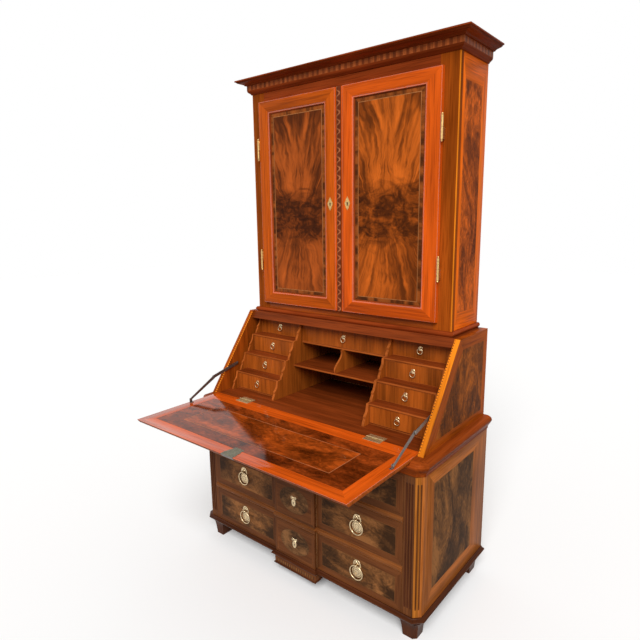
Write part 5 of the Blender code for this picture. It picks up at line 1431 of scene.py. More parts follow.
def carved_edge(piece, foot, head):
    """A notched bead down the inner corner of a slanted edge, from its head to its foot."""
    along_edge = (head - foot).normalized()
    lift = Vector((0.0, -along_edge.z, along_edge.y))
    across = Vector((1.0, 0.0, 0.0))
    first = foot + along_edge * CARVED_STOP
    run = head - along_edge * CARVED_STOP - first
    steps = round(run.length / CARVED_PITCH) * CARVED_STEPS
    rows = []
    for k in range(steps + 1):
        swell = CARVED_NOTCH + (1 - CARVED_NOTCH) * math.sin(math.pi * (k % CARVED_STEPS) / CARVED_STEPS)
        rows.append([first + run * (k / steps) + across * CARVED_HALF * swell * math.cos(turn)
                     + lift * CARVED_RISE * swell * math.sin(turn)
                     for turn in turns(CARVED_SIDES, closed=True)])
    # The rows at each notch are painted dark walnut: painted shade in the notches.
    shaded_notch = (0, CARVED_STEPS - 1)
    piece.skin(rows, lambda row, column: "foot_z" if row % CARVED_STEPS in shaded_notch else "gilt_s",
               round_columns=True, caps="gilt_s")


def hinge_leaf(piece, x, way):
    """One leaf of a flap hinge with its knuckles; way is 1 on the flap and -1 on the bed."""
    half = HINGE_LENGTH / 2
    sixth = HINGE_LENGTH / 6
    top = BED_Z + LEAF_RISE
    near = FLAP_AXIS_DEPTH + way * HINGE_NEAR
    far = FLAP_AXIS_DEPTH + way * HINGE_LEAF
    piece.board(at(x - half, near, BED_Z - LEAF_SINK), at(x + half, far, top), "old_brass", FINE_EDGE)
    screw_depth = FLAP_AXIS_DEPTH + way * HINGE_LEAF * HINGE_SCREW_DEEP
    for place in HINGE_SCREWS:
        head = at(x + place * half * HINGE_SCREW_X, screw_depth, top)
        piece.turned(head, (0, 0, 1), SCREW_HEAD, "brass", SCREW_STEPS)
    spans = ((-sixth, sixth),) if way > 0 else ((-half, -sixth - HINGE_STEP), (sixth + HINGE_STEP, half))
    for start, end in spans:
        barrel = [at(x + reach, FLAP_AXIS_DEPTH, FLAP_AXIS_Z) for reach in (start, end)]
        piece.tube(barrel, (0, 0, 1), HINGE_BARREL, HINGE_BARREL, "old_brass", HINGE_SIDES)
        piece.board(at(x + start, FLAP_AXIS_DEPTH + way * HINGE_STEP, BED_Z + KNUCKLE_RISE),
                    at(x + end, near + way * HINGE_STEP, top), "old_brass", KNUCKLE_EDGE)


def dress_desk_side(side, word):
    """One slanted side of the desk: burl panel, mitred border and carved bead."""
    low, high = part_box("desk_side_" + word)
    piece = Piece("desk_side_" + word + "_dressed")
    nose = low.z + SIDE_NOSE
    head = SIDE_FOOT_DEPTH - (high.z - nose) * SLANT_LEAN
    outline = [(0, low.z), (SIDE_FOOT_DEPTH, low.z), (SIDE_FOOT_DEPTH, nose), (head, high.z), (0, high.z)]
    panel_low = low.z + DESK_PANEL_IN
    panel_high = high.z - DESK_PANEL_IN
    panel = [(DESK_PANEL_BACK, panel_low), (DESK_PANEL_FRONT - DESK_PANEL_CORNER, panel_low),
             (DESK_PANEL_FRONT, panel_low + DESK_PANEL_CORNER),
             (head - DESK_PANEL_IN * DESK_PANEL_HEAD, panel_high), (DESK_PANEL_BACK, panel_high)]
    rows = []
    for x, plan in ((DESK_INNER_X, outline), (DESK_X, outline), (DESK_X, panel)):
        rows.append([at(side * x, depth, z) for depth, z in plan])
    # The slanted edge is bright gilt on the right side and darker hazel on the left: painted light and shade
    # on one part.
    edge = "gilt_s" if side > 0 else "hazel_s"

    def chosen(row, column):
        if row > 0:
            return DESK_BORDER[column]
        return edge if column in DESK_EDGE_STRIPS else "hazel_z"

    ends = piece.skin(rows, chosen, round_columns=True, caps="hazel_z")
    piece.paint([facing(ends, (side, 0, 0))], "desk_burl")
    inside = side * (DESK_INNER_X + CARVED_IN)
    carved_edge(piece, at(inside, SIDE_FOOT_DEPTH, nose), at(inside, head, high.z))
    piece.done("case", "desk_side_" + word, slot="golden_walnut")


def dress_writing_bed():
    """The fixed part of the writing surface, with the bed leaves of the flap's hinges."""
    low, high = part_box("writing_bed")
    piece = Piece("writing_bed_dressed")
    piece.board(at(low.x, WALL_Y - high.y, low.z), at(high.x, FLAP_AXIS_DEPTH - FLAP_GAP, BED_Z),
                "interior_x", SHELF_EDGE)
    for side, _ in SIDES:
        hinge_leaf(piece, side * HINGE_X, -1)
    piece.done("case", "writing_bed", slot="walnut")


def dress_desk_top():
    """Top board of the desk with the rail that the flap closes on, and the waist moulding."""
    piece = Piece("desk_top_and_waist_dressed")
    rail_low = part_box("desk_top_and_waist")[0].z
    wide = DESK_INNER_X - SLACK
    rest = DESK_TOP_DEPTH - FLAP_REST_GAP
    rail_front = rest + (DESK_TOP_Z - rail_low) * SLANT_LEAN
    rail_back = rail_front - RAIL_BACK
    board_low = DESK_TOP_Z - DESK_TOP_BOARD
    outline = [(0, board_low), (rail_back, board_low), (rail_back, rail_low), (rail_front, rail_low),
               (rest, DESK_TOP_Z), (0, DESK_TOP_Z)]
    rows = [[at(side * wide, depth, z) for depth, z in outline] for side, _ in SIDES]
    piece.skin(rows, "interior_x", round_columns=True, caps="interior_x")
    piece.stack(cupboard_outline, shifted(WAIST_PROFILE, DESK_TOP_Z - SEAT), "dark", "dark_x")
    piece.done("case", "desk_top_and_waist", slot="walnut")


def dress_desk():
    """Panelled slanted sides, writing bed, desk top with its rail and the waist moulding."""
    for side, word in SIDES:
        dress_desk_side(side, word)
    dress_writing_bed()
    dress_desk_top()


def small_front(low):
    """Depth of the front of a small drawer, behind its ring."""
    return WALL_Y - (low.y + SMALL_PROUD)


def scallops(drawers, top):
    """Scalloped front edge of an upright, one swell for each drawer it stands beside, as (depth, z)."""
    edge = []
    for row, (low, _) in enumerate(drawers):
        front = small_front(low)
        z0 = low.z - SLACK if row else BED_Z + HAIR
        z1 = top if row == len(drawers) - 1 else drawers[row + 1][0].z - SLACK
        edge += [(front + UPRIGHT_OUT * out, z0 + (z1 - z0) * share) for share, out in UPRIGHT_SHARES]
    return edge


def divider_edge(top, low_z, high_z):
    """S-shaped front edge of the divider, as (depth, z)."""
    foot = PIGEONHOLE_DEPTH - DIVIDER_FOOT_IN
    edge = []
    for k in range(DIVIDER_STEPS + 1):
        share = k / DIVIDER_STEPS
        swing = (1 + math.cos(math.pi * share)) / 2
        edge.append((top + (foot - top) * swing + DIVIDER_BULGE * math.sin(2 * math.pi * share),
                     low_z + (high_z - low_z) * share))
    return edge


def upright(piece, back, edge, heights, places):
    """A thin upright board with a shaped pale edge in front, between two places across."""
    outline = [(back, heights[0])] + edge + [(back, heights[1])]
    rows = [[at(x, depth, z) for depth, z in outline] for x in places]
    piece.skin(rows, lambda row, column: "nosing_z" if 0 < column < len(edge) else "gallery_z",
               round_columns=True, caps="gallery_z")


def shelf(piece, span, back, front, low, high):
    """A shelf of the fitted case, with a pale front edge."""
    board = piece.board(at(span[0], back, low), at(span[1], front, high), "interior_x", SHELF_EDGE)
    piece.paint([facing(board, FORWARD)], "nosing_x")


def dress_case():
    """The case round the small drawers: scalloped uprights, stepped shelves, pigeonholes and divider."""
    drawers = sorted((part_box("small_drawer_right_" + str(row)) for row in ROWS), key=lambda box: box[0].z)
    low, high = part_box("desk_gallery")
    back = WALL_Y - high.y
    housed = back + SHELF_HOUSING
    edge = scallops(drawers, high.z)
    piece = Piece("desk_gallery_dressed")
    for side, _ in SIDES:
        for near, thick in ((INNER_UPRIGHT_X, INNER_UPRIGHT), (OUTER_UPRIGHT_X, OUTER_UPRIGHT)):
            upright(piece, back, edge, (low.z, high.z), (side * near, side * (near + thick)))
        span = (side * (INNER_UPRIGHT_X + INNER_UPRIGHT - SHELF_HOUSING),
                side * (OUTER_UPRIGHT_X + SHELF_HOUSING))
        for row, (drawer, _) in enumerate(drawers):
            front = small_front(drawers[max(row - 1, 0)][0]) + SHELF_NOSE
            top = drawer.z - SLACK
            shelf(piece, span, housed, front, top - SHELF if row else low.z, top)
    piece.board(at(-CASE_X, back, low.z + CASE_IN), at(CASE_X, back + CASE_BACK, high.z - CASE_IN),
                "interior_x", FINE_EDGE)
    wide = INNER_UPRIGHT_X + SHELF_HOUSING
    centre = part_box("small_drawer_centre")[0]
    under = centre.z - SLACK
    shelf(piece, (-wide, wide), housed, small_front(centre), under - SHELF, under)
    shelf(piece, (-wide, wide), housed, PIGEONHOLE_DEPTH, PIGEONHOLE_Z, PIGEONHOLE_Z + SHELF)
    heights = (PIGEONHOLE_Z + SHELF - SLACK, under - SHELF + SLACK)
    edge = divider_edge(small_front(centre) + DIVIDER_TOP_OUT, *heights)
    upright(piece, back + 2 * SHELF_HOUSING, edge, heights, (-SHELF / 2, SHELF / 2))
    piece.done("case", "desk_gallery", slot="walnut")


def dress_small_drawer(name):
    """One small drawer: veneered front, pine box, knob plate with its staple, and ring."""
    low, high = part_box(name)
    front = small_front(low)
    behind = front - SMALL_FRONT
    near = low.x + SMALL_SIDE
    far = high.x - SMALL_SIDE
    wall = high.z - WALL_DROP
    piece = Piece(name + "_dressed")
    board = piece.board(at(low.x, front, low.z), at(high.x, behind, high.z), "drawer_x", SMALL_EDGE)
    face = facing(board, FORWARD)
    piece.inlay(face, SMALL_BANDS)
    piece.paint([face], "nest_z")
    for x0, x1 in ((low.x, near), (far, high.x)):
        piece.board(at(x0, SMALL_BACK, low.z), at(x1, behind, wall), "pine", PINE_EDGE)
    inside = SMALL_BACK + SMALL_SIDE
    piece.board(at(near, SMALL_BACK, low.z), at(far, inside, wall), "pine", PINE_EDGE)
    piece.board(at(near, inside, low.z), at(far, behind, low.z + SMALL_FLOOR), "pine", PINE_EDGE)
    ring_low, ring_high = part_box(name + "_ring")
    x = (low.x + high.x) / 2
    ring_z = (ring_low.z + ring_high.z) / 2
    eye_z = ring_z + KNOB_RING
    piece.turned(at(x, front, eye_z), FORWARD, KNOB_DOME, "brass", KNOB_STEPS)
    ring_eye(piece, x, front, eye_z, KNOB_STAND, **KNOB_EYE)
    piece.done(name, name, slot="drawer_walnut")
    hanging_ring(name + "_ring", (x, front + KNOB_STAND, ring_z), KNOB_RING, KNOB_TUBE, KNOB_RING_STEPS,
                 KNOB_RING_SIDES)


def dress_gallery():
    """Fitted case of small drawers and pigeonholes inside the desk."""
    dress_case()
    for name in small_names():
        dress_small_drawer(name)


def lock_plate(piece):
    """The lock's shaped plate, the lip over the flap's edge, and four screws."""
    start = FLAP_FRONT_DEPTH - LOCK_REACH
    shares = mirrored(LOCK_SHARES) + [(0.0, 0.0)] + list(LOCK_SHARES)
    outline = [(LOCK_X + LOCK_HALF * share, start + LOCK_REACH * deep) for share, deep in shares]
    piece.plate(outline, lambda x, depth, rise: at(x, depth, BED_Z + rise), LOCK_LEVELS, "lock")
    lip = FLAP_FRONT_DEPTH + LEAF_RISE
    top = BED_Z + LEAF_RISE
    under = BED_Z - LIP_UNDER
    foot = BED_Z - LIP_DROP
    fall = LIP_DROP * SLANT_LEAN
    outline = [(lip - LIP_LAP, top), (lip, top), (lip - fall, foot), (lip - fall - LIP_THICK, foot),
               (lip - LIP_THICK, under), (lip - LIP_LAP, under)]
    rows = [[at(LOCK_X + way * LOCK_HALF, depth, z) for depth, z in outline] for way, _ in SIDES]
    piece.skin(rows, "steel", round_columns=True, caps="steel")
    for across, deep in LOCK_SCREWS:
        head = at(LOCK_X + across * LOCK_HALF, start + deep * LOCK_REACH, top)
        piece.turned(head, (0, 0, 1), SCREW_HEAD, "steel", SCREW_STEPS)


def stay_bracket(piece, side):
    """The angle bracket on the flap that a stay ends at."""
    middle = FLAP_AXIS_DEPTH + STAY_FLAP_REACH
    near = middle - BRACKET_HALF
    far = middle + BRACKET_HALF
    tab = side * (STAY_LOWER_X - HAIR)
    piece.board(at(tab, near, BED_Z - LEAF_SINK), at(tab - side * BRACKET_FOOT, far, BED_Z + BRACKET_RISE),
                "steel", SIDE_EDGE)
    piece.board(at(tab, near, BED_Z), at(tab - side * BRACKET_THICK, far, FLAP_AXIS_Z + BRACKET_TOP), "steel",
                SMALL_EDGE)


def dress_flap():
    """Writing flap: mitred border, inlaid rectangle, lock plate, hinge leaves and stay brackets."""
    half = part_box("flap")[1].x
    back = FLAP_AXIS_DEPTH + FLAP_GAP
    piece = Piece("flap_dressed")
    rows = []
    for inset, drop in FLAP_EDGE:
        front = FLAP_FRONT_DEPTH - drop * SLANT_LEAN - inset
        wide = half - inset
        z = BED_Z - drop
        rows.append([at(-wide, back, z), at(wide, back, z), at(wide, front, z), at(-wide, front, z)])
    piece.skin(rows, lambda row, column: "rim_x" if row in FLAP_RIM_ROWS else "polished_x",
               round_columns=True, caps="cherry_x")
    face = facing(piece.mesh.faces, (0, 0, 1))
    piece.window(face, {ACROSS: (-LID_BORDER_X, LID_BORDER_X), DEEP: between(LID_BORDER_DEPTHS)}, "leaf")
    piece.inlay(face, LID_BORDER_LINE)
    piece.window(face, {ACROSS: (-LID_FIELD_X, LID_FIELD_X), DEEP: between(LID_FIELD_DEPTHS)}, "lid_band")
    piece.inlay(face, LID_FIELD_LINE)
    piece.paint([face], "lid_burl")
    under = facing(piece.mesh.faces, (0, 0, -1))
    piece.inlay(under, LID_OUTER_BANDS)
    piece.paint([under], "desk_burl")
    lock_plate(piece)
    for side, _ in SIDES:
        hinge_leaf(piece, side * HINGE_X, 1)
        stay_bracket(piece, side)
    piece.done("flap", "flap", slot="cherry")


def leaf_outline(start, end, wide_start, wide_end):
    """Outline of a stay leaf with a round eye at each end."""
    heading = math.atan2(end[1] - start[1], end[0] - start[0])
    outline = []
    for (depth, z), radius, turn in ((start, wide_start, math.pi / 2), (end, wide_end, -math.pi / 2)):
        for k in range(STAY_EYE_STEPS + 1):
            angle = heading + turn + math.pi * k / STAY_EYE_STEPS
            outline.append((depth + radius * math.cos(angle), z + radius * math.sin(angle)))
    return outline


def stay_leaf(name, side, inner, outline):
    """A new piece that starts as the flat leaf of a stay."""
    piece = Piece(name + "_dressed")
    piece.plate(outline, lambda depth, z, rise: at(side * (inner + rise), depth, z),
                (0.0, STAY_THICKNESS, STAY_CHAMFER), "steel")
    return piece


def washer(piece, side, centre, near, far):
    """A round washer between a leaf and its neighbour."""
    wall = [(STAY_BOSS, 0.0), (STAY_BOSS, far - near)]
    piece.turned(at(side * near, *centre), (side, 0, 0), wall, "steel", STAY_STEPS)


def rivet(piece, side, inner, way, centre):
    """A rivet head on a leaf; way is 1 on its outer face and -1 on its inner face."""
    x = inner + STAY_THICKNESS - RIVET_SINK if way > 0 else inner + RIVET_SINK
    piece.turned(at(side * x, *centre), (side * way, 0, 0), RIVET, "steel", STAY_STEPS)


def dress_stays():
    """Folding steel stays, each of two leaves with riveted eyes."""
    top = (STAY_PIVOT_DEPTH, STAY_PIVOT_Z)
    end = (FLAP_AXIS_DEPTH + STAY_FLAP_REACH, FLAP_AXIS_Z + STAY_FLAP_RISE)
    run = end[0] - top[0]
    fall = top[1] - end[1]
    span = math.hypot(run, fall)
    elbow = ((top[0] + end[0]) / 2 + STAY_BOW * fall / span, (top[1] + end[1]) / 2 + STAY_BOW * run / span)
    for side, word in SIDES:
        name = "stay_upper_" + word
        piece = stay_leaf(name, side, STAY_UPPER_X, leaf_outline(top, elbow, STAY_UPPER_HALF, STAY_EYE))
        washer(piece, side, top, STAY_UPPER_X + STAY_THICKNESS - SLACK, DESK_INNER_X - HAIR)
        washer(piece, side, elbow, STAY_LOWER_X + STAY_THICKNESS + HAIR, STAY_UPPER_X + SLACK)
        rivet(piece, side, STAY_UPPER_X, -1, top)
        rivet(piece, side, STAY_UPPER_X, 1, elbow)
        piece.done(name, name, slot="steel")

        name = "stay_lower_" + word
        piece = stay_leaf(name, side, STAY_LOWER_X, leaf_outline(end, elbow, STAY_LOWER_HALF, STAY_EYE))
        rivet(piece, side, STAY_LOWER_X, -1, elbow)
        rivet(piece, side, STAY_LOWER_X, 1, end)
        piece.done(name, name, slot="steel")


def dress_cupboard():
    """Cupboard sides with inlaid panels, front frame and back."""
    high_z = CORNICE_Z - HAIR
    back = CUPBOARD_DEPTH - FRONT_FRAME
    for side, word in SIDES:
        piece = Piece("cupboard_side_" + word)
        board = piece.board(at(side * CUPBOARD_X, 0, CUPBOARD_Z),
                            at(side * (CUPBOARD_X - CUPBOARD_BOARD), back, high_z), "golden_z", SIDE_EDGE)
        face = facing(board, (side, 0, 0))
        piece.window(face, {DEEP: between(CUPBOARD_PANEL_DEPTHS), UP: CUPBOARD_PANEL_HEIGHTS}, "golden")
        piece.paint([face], "side_burl")
        piece.done("case", "cupboard_case", slot="walnut")
    piece = Piece("cupboard_front_frame")
    inner = CUPBOARD_X - FRONT_STILE
    plan = [(0.0, back), (0.0, CUPBOARD_DEPTH), (FRONT_STILE - STILE_ROUND, CUPBOARD_DEPTH),
            (FRONT_STILE - STILE_ROUND_MIDDLE, CUPBOARD_DEPTH - STILE_ROUND_MIDDLE),
            (FRONT_STILE, CUPBOARD_DEPTH - STILE_ROUND), (FRONT_STILE, back)]
    for side, _ in SIDES:
        rows = [[at(side * (inner + x), depth, z) for x, depth in plan] for z in (CUPBOARD_Z, high_z)]
        # The rounded corner of each stile is painted bright gilt: painted highlight.
        piece.skin(rows, lambda row, column: "gilt_z" if column in STILE_HIGHLIGHT_STRIPS else "hazel_z",
                   round_columns=True, caps="walnut_z")
        for z in BARREL_HEIGHTS:
            door_barrel(piece, side, z, -1)
    piece.board(at(-inner, back, CUPBOARD_Z), at(inner, CUPBOARD_DEPTH, DOOR_LOW + FRAME_LAP), "walnut_x",
                SHELF_EDGE)
    piece.board(at(-inner, back, DOOR_HIGH - FRAME_LAP), at(inner, CUPBOARD_DEPTH, high_z), "dark_x",
                SHELF_EDGE)
    piece.done("case", "cupboard_case", slot="walnut")
    repaint("cupboard_back_and_shelf", "pine")


def door_barrel(piece, side, middle, way):
    """Half of a lift-off barrel hinge with its finial; way is 1 on the door and -1 on the frame."""
    start = middle + way * HAIR
    neck = BARREL_HALF - HAIR - FINIAL_HEIGHT
    profile = [(BARREL_RADIUS, 0.0), (BARREL_RADIUS, neck)]
    profile += [(BARREL_RADIUS * share, neck + up) for share, up in FINIAL]
    piece.turned(at(side * BARREL_X, BARREL_DEPTH, start), (0, 0, way), profile, "gold", BARREL_STEPS)
    end = start + way * neck
    if way < 0:
        piece.board(at(side * (BARREL_X - BARREL_WEB), CUPBOARD_DEPTH - SLACK, start),
                    at(side * (BARREL_X + BARREL_WEB), BARREL_DEPTH - BARREL_WEB_REACH, end),
                    "gold", FINE_EDGE)
    else:
        piece.board(at(side * (DOOR_OUT - BARREL_WING_LAP), BARREL_DEPTH - BARREL_WING[0], start),
                    at(side * BARREL_X, BARREL_DEPTH - BARREL_WING[1], end), "gold", FINE_EDGE)


def dress_cornice():
    """Cornice: cove, dentil band and crown, with its flat top."""
    piece = Piece("cornice_dressed")
    piece.stack(cupboard_outline, CORNICE_PROFILE, lambda row: "dentil" if row == DENTIL_ROW else "dark",
                "dark_x")
    piece.done("case", "cornice", slot="dark_walnut")


def frame_finish(board):
    """Finishes of the strips of a door frame made of one board, counted round its section."""
    def chosen(column):
        # The strips that fall to the panel are painted dark: painted shade.
        if column in DOOR_SHADED_COVE:
            return "dark"
        return "polished" if column in DOOR_ROUNDED else board

    return chosen


def carved_bead(piece):
    """The carved bead on the left door's meeting edge: overlapping leaves down its length."""
    near = -DOOR_IN - VINE_LAP
    far = DOOR_IN - VINE_REST
    low = DOOR_LOW + HAIR
    high = DOOR_HIGH - HAIR
    steps = round((high - low) / VINE_PERIOD) * VINE_STEPS
    middle = (far - DOOR_IN) / 2
    half = (far + DOOR_IN) / 2 - VINE_MARGIN
    back = DOOR_BACK + VINE_BACK
    front = DOOR_FRONT - VINE_SINK
    shoulder = front + VINE_SHOULDER_RISE
    rows = []
    for k in range(steps + 1):
        z = low + (high - low) * k / steps
        share = (k % VINE_STEPS) / VINE_STEPS
        swell = math.sin(math.pi * share) ** VINE_SWELL
        row = [at(near, back, z), at(near, front, z), at(middle - half - VINE_SHOULDER, shoulder, z)]
        for turn in turns(VINE_ARC_STEPS, 180, -180):
            vein = 1.0 - VINE_VEIN * (abs(math.cos(2 * turn + share * VINE_TWIST)) ** 3) * swell
            lift = VINE_HEIGHT * math.sin(turn) * (VINE_LEAST + (1 - VINE_LEAST) * swell) * vein
            row.append(at(middle + half * math.cos(turn), front + lift, z))
        row += [at(middle + half + VINE_SHOULDER, shoulder, z), at(far, front, z), at(far, back, z)]
        rows.append(row)

    def chosen(row, column):
        if column < VINE_FACES[0] or column > VINE_FACES[1]:
            return "cherry_z"
        # A pale wavy line of edge wood on the bead's dark wood stands for light on the carved leaves: painted
        # highlight.
        highlight_path = VINE_HIGHLIGHT_MIDDLE + VINE_HIGHLIGHT_SWING * math.sin(2 * math.pi * (row % VINE_STEPS) / VINE_STEPS)
        return "edge_z" if abs(column - highlight_path) < VINE_HIGHLIGHT_WIDTH else "bead_z"

    piece.skin(rows, chosen, round_columns=True, caps="dark_z")


def door_corners(side, near, far, low, high):
    """Corners of a rectangle in the plane of the doors, in order round it."""
    return [(side * near, low), (side * far, low), (side * far, high), (side * near, high)]


def dress_door_frame(side, word):
    """A door's frame with barrels and key plate, and on the left door the carved bead."""
    body = "door_" + word
    outer = door_corners(side, DOOR_IN, DOOR_OUT, DOOR_LOW, DOOR_HIGH)
    inner = door_corners(side, PANEL_IN, PANEL_OUT, PANEL_LOW, PANEL_HIGH)
    piece = Piece(body + "_frame_dressed")
    piece.frame(outer, inner, DOOR_PROFILE, frame_finish(DOOR_BOARDS[word]))
    for z in BARREL_HEIGHTS:
        door_barrel(piece, side, z, 1)
    key_x = side * DOOR_KEY_IN
    key_z = DOOR_LOW + DOOR_KEY_RISE
    kite = [(0, KITE_HALF)] + list(KITE_SIDE) + [(0, -KITE_HALF)] + mirrored(KITE_SIDE)
    key_plate(piece, [(key_x + x, key_z + z) for x, z in kite],
              keyhole(key_x, key_z + DOOR_KEYHOLE_UP, *DOOR_KEYHOLE), DOOR_FRONT, "gold")
    if word == "left":
        carved_bead(piece)
    piece.done(body, body + "_frame", slot="cherry")


def dress_door_panel(word):
    """A door's figured panel with its crossband and pale line."""
    body = "door_" + word
    low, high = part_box(body + "_panel")
    field = "burl_" + word
    FINISHES[field] = figured(field, PANEL_TONES_WITH_SHADE[word], (low + high) / 2, (high.z - low.z) / 2)
    piece = Piece(body + "_panel_dressed")
    face = facing(piece.board(low, high, "walnut_z", FINE_EDGE), FORWARD)
    lap = (high.x - low.x - (PANEL_OUT - PANEL_IN)) / 2
    if lap > 0:
        piece.inlay(face, [(lap, 0.0, "walnut")])
    piece.inlay(face, DOOR_BANDS)
    piece.paint([face], field)
    piece.done(body, body + "_panel", slot="burl_walnut")


def dress_doors():
    """Two framed doors with figured panels, barrels, key plates and the carved bead."""
    for side, word in SIDES:
        dress_door_frame(side, word)
        dress_door_panel(word)


def set_camera():
    """The camera that took the photograph."""
    scene = bpy.context.scene
    data = bpy.data.cameras.new("camera")
    data.sensor_width = SENSOR
    data.lens = CAMERA_FOCUS / PHOTO_SIZE * SENSOR
    data.clip_end = CAMERA_SIGHT
    camera = bpy.data.objects.new("camera", data)
    scene.collection.objects.link(camera)
    turn = math.radians(CAMERA_TURN)
    tilt = math.radians(CAMERA_TILT)
    roll = math.radians(CAMERA_ROLL)
    ahead = Vector((-math.sin(turn) * math.cos(tilt), math.cos(turn) * math.cos(tilt), math.sin(tilt)))
    right = Vector((math.cos(turn), math.sin(turn), 0))
    over = right.cross(ahead)
    across = right * math.cos(roll) + over * math.sin(roll)
    up = over * math.cos(roll) - right * math.sin(roll)
    turned = Matrix((across, up, -ahead)).transposed().to_4x4()
    camera.matrix_world = Matrix.Translation(CAMERA_PLACE) @ turned
    scene.camera = camera


def lay_floor():
    """The pale floor, which belongs to the studio."""
    floor = Piece("floor")
    ends = (-FLOOR_REACH, FLOOR_REACH)
    floor.skin([[Vector((x, y, 0.0)) for x in ends] for y in ends], "floor")
    data = bpy.data.meshes.new("floor")
    floor.mesh.to_mesh(data)
    floor.mesh.free()
    data.materials.append(finish("floor"))
    ground = bpy.data.objects.new("floor", data)
    bpy.context.scene.collection.objects.link(ground)


def set_background():
    """Soft light from all round, and plain white where the background is seen or mirrored."""
    world = bpy.data.worlds.new("studio")
    bpy.context.scene.world = world
    world.use_nodes = True
    tree = world.node_tree
    back = tree.nodes["Background"]
    back.inputs["Color"].default_value = (*WORLD_TONE, 1.0)
    back.inputs["Strength"].default_value = WORLD_LIGHT
    seen = tree.nodes.new("ShaderNodeBackground")
    seen.inputs["Color"].default_value = (*WHITE, 1.0)
    seen.inputs["Strength"].default_value = 1.0
    path = tree.nodes.new("ShaderNodeLightPath")
    both = tree.nodes.new("ShaderNodeMixShader")
    seen_by = path.outputs["Is Camera Ray"]
    for ray in ("Is Glossy Ray", "Is Transmission Ray"):
        either = tree.nodes.new("ShaderNodeMath")
        either.operation = "MAXIMUM"
        tree.links.new(seen_by, either.inputs[0])
        tree.links.new(path.outputs[ray], either.inputs[1])
        seen_by = either.outputs[0]
    tree.links.new(seen_by, both.inputs[0])
    tree.links.new(back.outputs[0], both.inputs[1])
    tree.links.new(seen.outputs[0], both.inputs[2])
    tree.links.new(both.outputs[0], tree.nodes["World Output"].inputs["Surface"])


def set_sun():
    """One broad, soft sun."""
    sun = bpy.data.lights.new("sun", "SUN")
    sun.energy = SUN_LIGHT
    sun.angle = math.radians(SUN_SPREAD)
    lamp = bpy.data.objects.new("sun", sun)
    bpy.context.scene.collection.objects.link(lamp)
    lamp.rotation_euler = Vector(SUN_FROM).to_track_quat("Z", "Y").to_euler()


def set_stage():
    """Camera, soft light, pale floor and white background."""
    bpy.context.scene.view_settings.view_transform = "Standard"
    set_camera()
    lay_floor()
    set_background()
    set_sun()


class SECRETAIRE_OT_base(bpy.types.Operator):
    """Base moulding, centre block and feet"""

    bl_idname = "secretaire.dress_base"
    bl_label = "Base and feet"

    def execute(self, context):
        dress_base()
        return {"FINISHED"}


class SECRETAIRE_OT_commode(bpy.types.Operator):
    """Panelled sides, fluted posts, rails and top board of the commode"""

    bl_idname = "secretaire.dress_commode"
    bl_label = "Commode"

    def execute(self, context):
        dress_commode()
        return {"FINISHED"}


class SECRETAIRE_OT_long_drawers(bpy.types.Operator):
    """Long drawers with their key plates and ring pulls"""

    bl_idname = "secretaire.dress_long_drawers"
    bl_label = "Long drawers"

    def execute(self, context):
        dress_long_drawers()
        return {"FINISHED"}


class SECRETAIRE_OT_desk(bpy.types.Operator):
    """Slanted sides, writing bed, desk top and waist moulding"""

    bl_idname = "secretaire.dress_desk"
    bl_label = "Desk"

    def execute(self, context):
        dress_desk()
        return {"FINISHED"}


class SECRETAIRE_OT_gallery(bpy.types.Operator):
    """Small drawers and the case that holds them"""

    bl_idname = "secretaire.dress_gallery"
    bl_label = "Fitted interior"

    def execute(self, context):
        dress_gallery()
        return {"FINISHED"}


class SECRETAIRE_OT_flap(bpy.types.Operator):
    """Writing flap with its metalwork"""

    bl_idname = "secretaire.dress_flap"
    bl_label = "Writing flap"

    def execute(self, context):
        dress_flap()
        return {"FINISHED"}


class SECRETAIRE_OT_stays(bpy.types.Operator):
    """Folding steel stays"""

    bl_idname = "secretaire.dress_stays"
    bl_label = "Stays"

    def execute(self, context):
        dress_stays()
        return {"FINISHED"}


class SECRETAIRE_OT_cupboard(bpy.types.Operator):
    """Cupboard sides, front frame and back"""

    bl_idname = "secretaire.dress_cupboard"
    bl_label = "Cupboard"

    def execute(self, context):
        dress_cupboard()
        return {"FINISHED"}


class SECRETAIRE_OT_cornice(bpy.types.Operator):
    """Cornice with its dentil band"""

    bl_idname = "secretaire.dress_cornice"
    bl_label = "Cornice"

    def execute(self, context):
        dress_cornice()
        return {"FINISHED"}


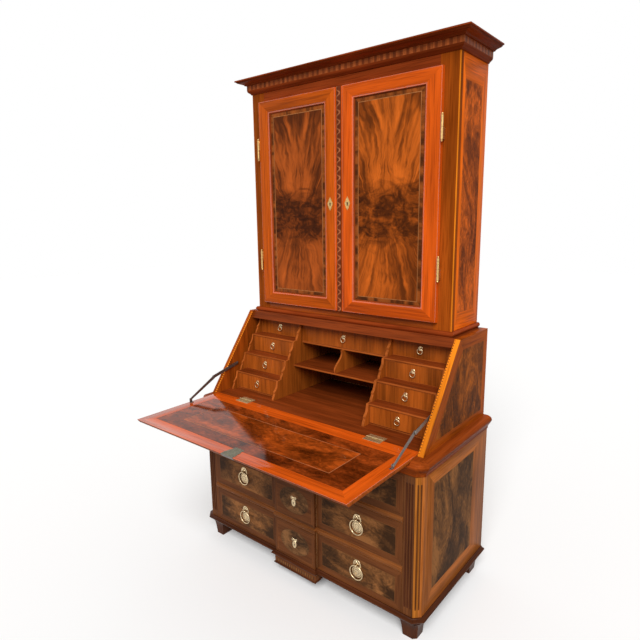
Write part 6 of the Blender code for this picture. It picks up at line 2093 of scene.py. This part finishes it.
class SECRETAIRE_OT_doors(bpy.types.Operator):
    """Doors with their panels, brass and carved bead"""

    bl_idname = "secretaire.dress_doors"
    bl_label = "Doors"

    def execute(self, context):
        dress_doors()
        return {"FINISHED"}


class SECRETAIRE_OT_stage(bpy.types.Operator):
    """Camera, light, floor and background"""

    bl_idname = "secretaire.set_stage"
    bl_label = "Studio"

    def execute(self, context):
        set_stage()
        return {"FINISHED"}


OPERATORS = (SECRETAIRE_OT_base, SECRETAIRE_OT_commode, SECRETAIRE_OT_long_drawers, SECRETAIRE_OT_desk,
             SECRETAIRE_OT_gallery, SECRETAIRE_OT_flap, SECRETAIRE_OT_stays, SECRETAIRE_OT_cupboard,
             SECRETAIRE_OT_cornice, SECRETAIRE_OT_doors, SECRETAIRE_OT_stage)


class SECRETAIRE_PT_panel(bpy.types.Panel):
    """Sizes, colours and steps of the secretaire cabinet"""

    bl_label = "Secretaire cabinet"
    bl_idname = "SECRETAIRE_PT_panel"
    bl_space_type = "VIEW_3D"
    bl_region_type = "UI"
    bl_category = "Secretaire"

    def draw(self, context):
        scene = context.scene
        for group in (scene.cabinet_sizes, scene.cabinet_colours):
            column = self.layout.column(align=True)
            for name in group.__annotations__:
                column.prop(group, name)
        column = self.layout.column(align=True)
        for operator in OPERATORS:
            column.operator(operator.bl_idname)


CLASSES = (CabinetSizes, CabinetColours) + OPERATORS + (SECRETAIRE_PT_panel,)


def register():
    """Register the classes and hang the settings on the scene."""
    for item in CLASSES:
        bpy.utils.register_class(item)
    bpy.types.Scene.cabinet_sizes = PointerProperty(type=CabinetSizes)
    bpy.types.Scene.cabinet_colours = PointerProperty(type=CabinetColours)


def unregister():
    """Take the settings and classes away again."""
    del bpy.types.Scene.cabinet_colours
    del bpy.types.Scene.cabinet_sizes
    for item in reversed(CLASSES):
        bpy.utils.unregister_class(item)


def main():
    """Dress the whole cabinet."""
    register()
    for operator in OPERATORS:
        group, name = operator.bl_idname.split(".")
        getattr(getattr(bpy.ops, group), name)()


if __name__ == "__main__":
    main()
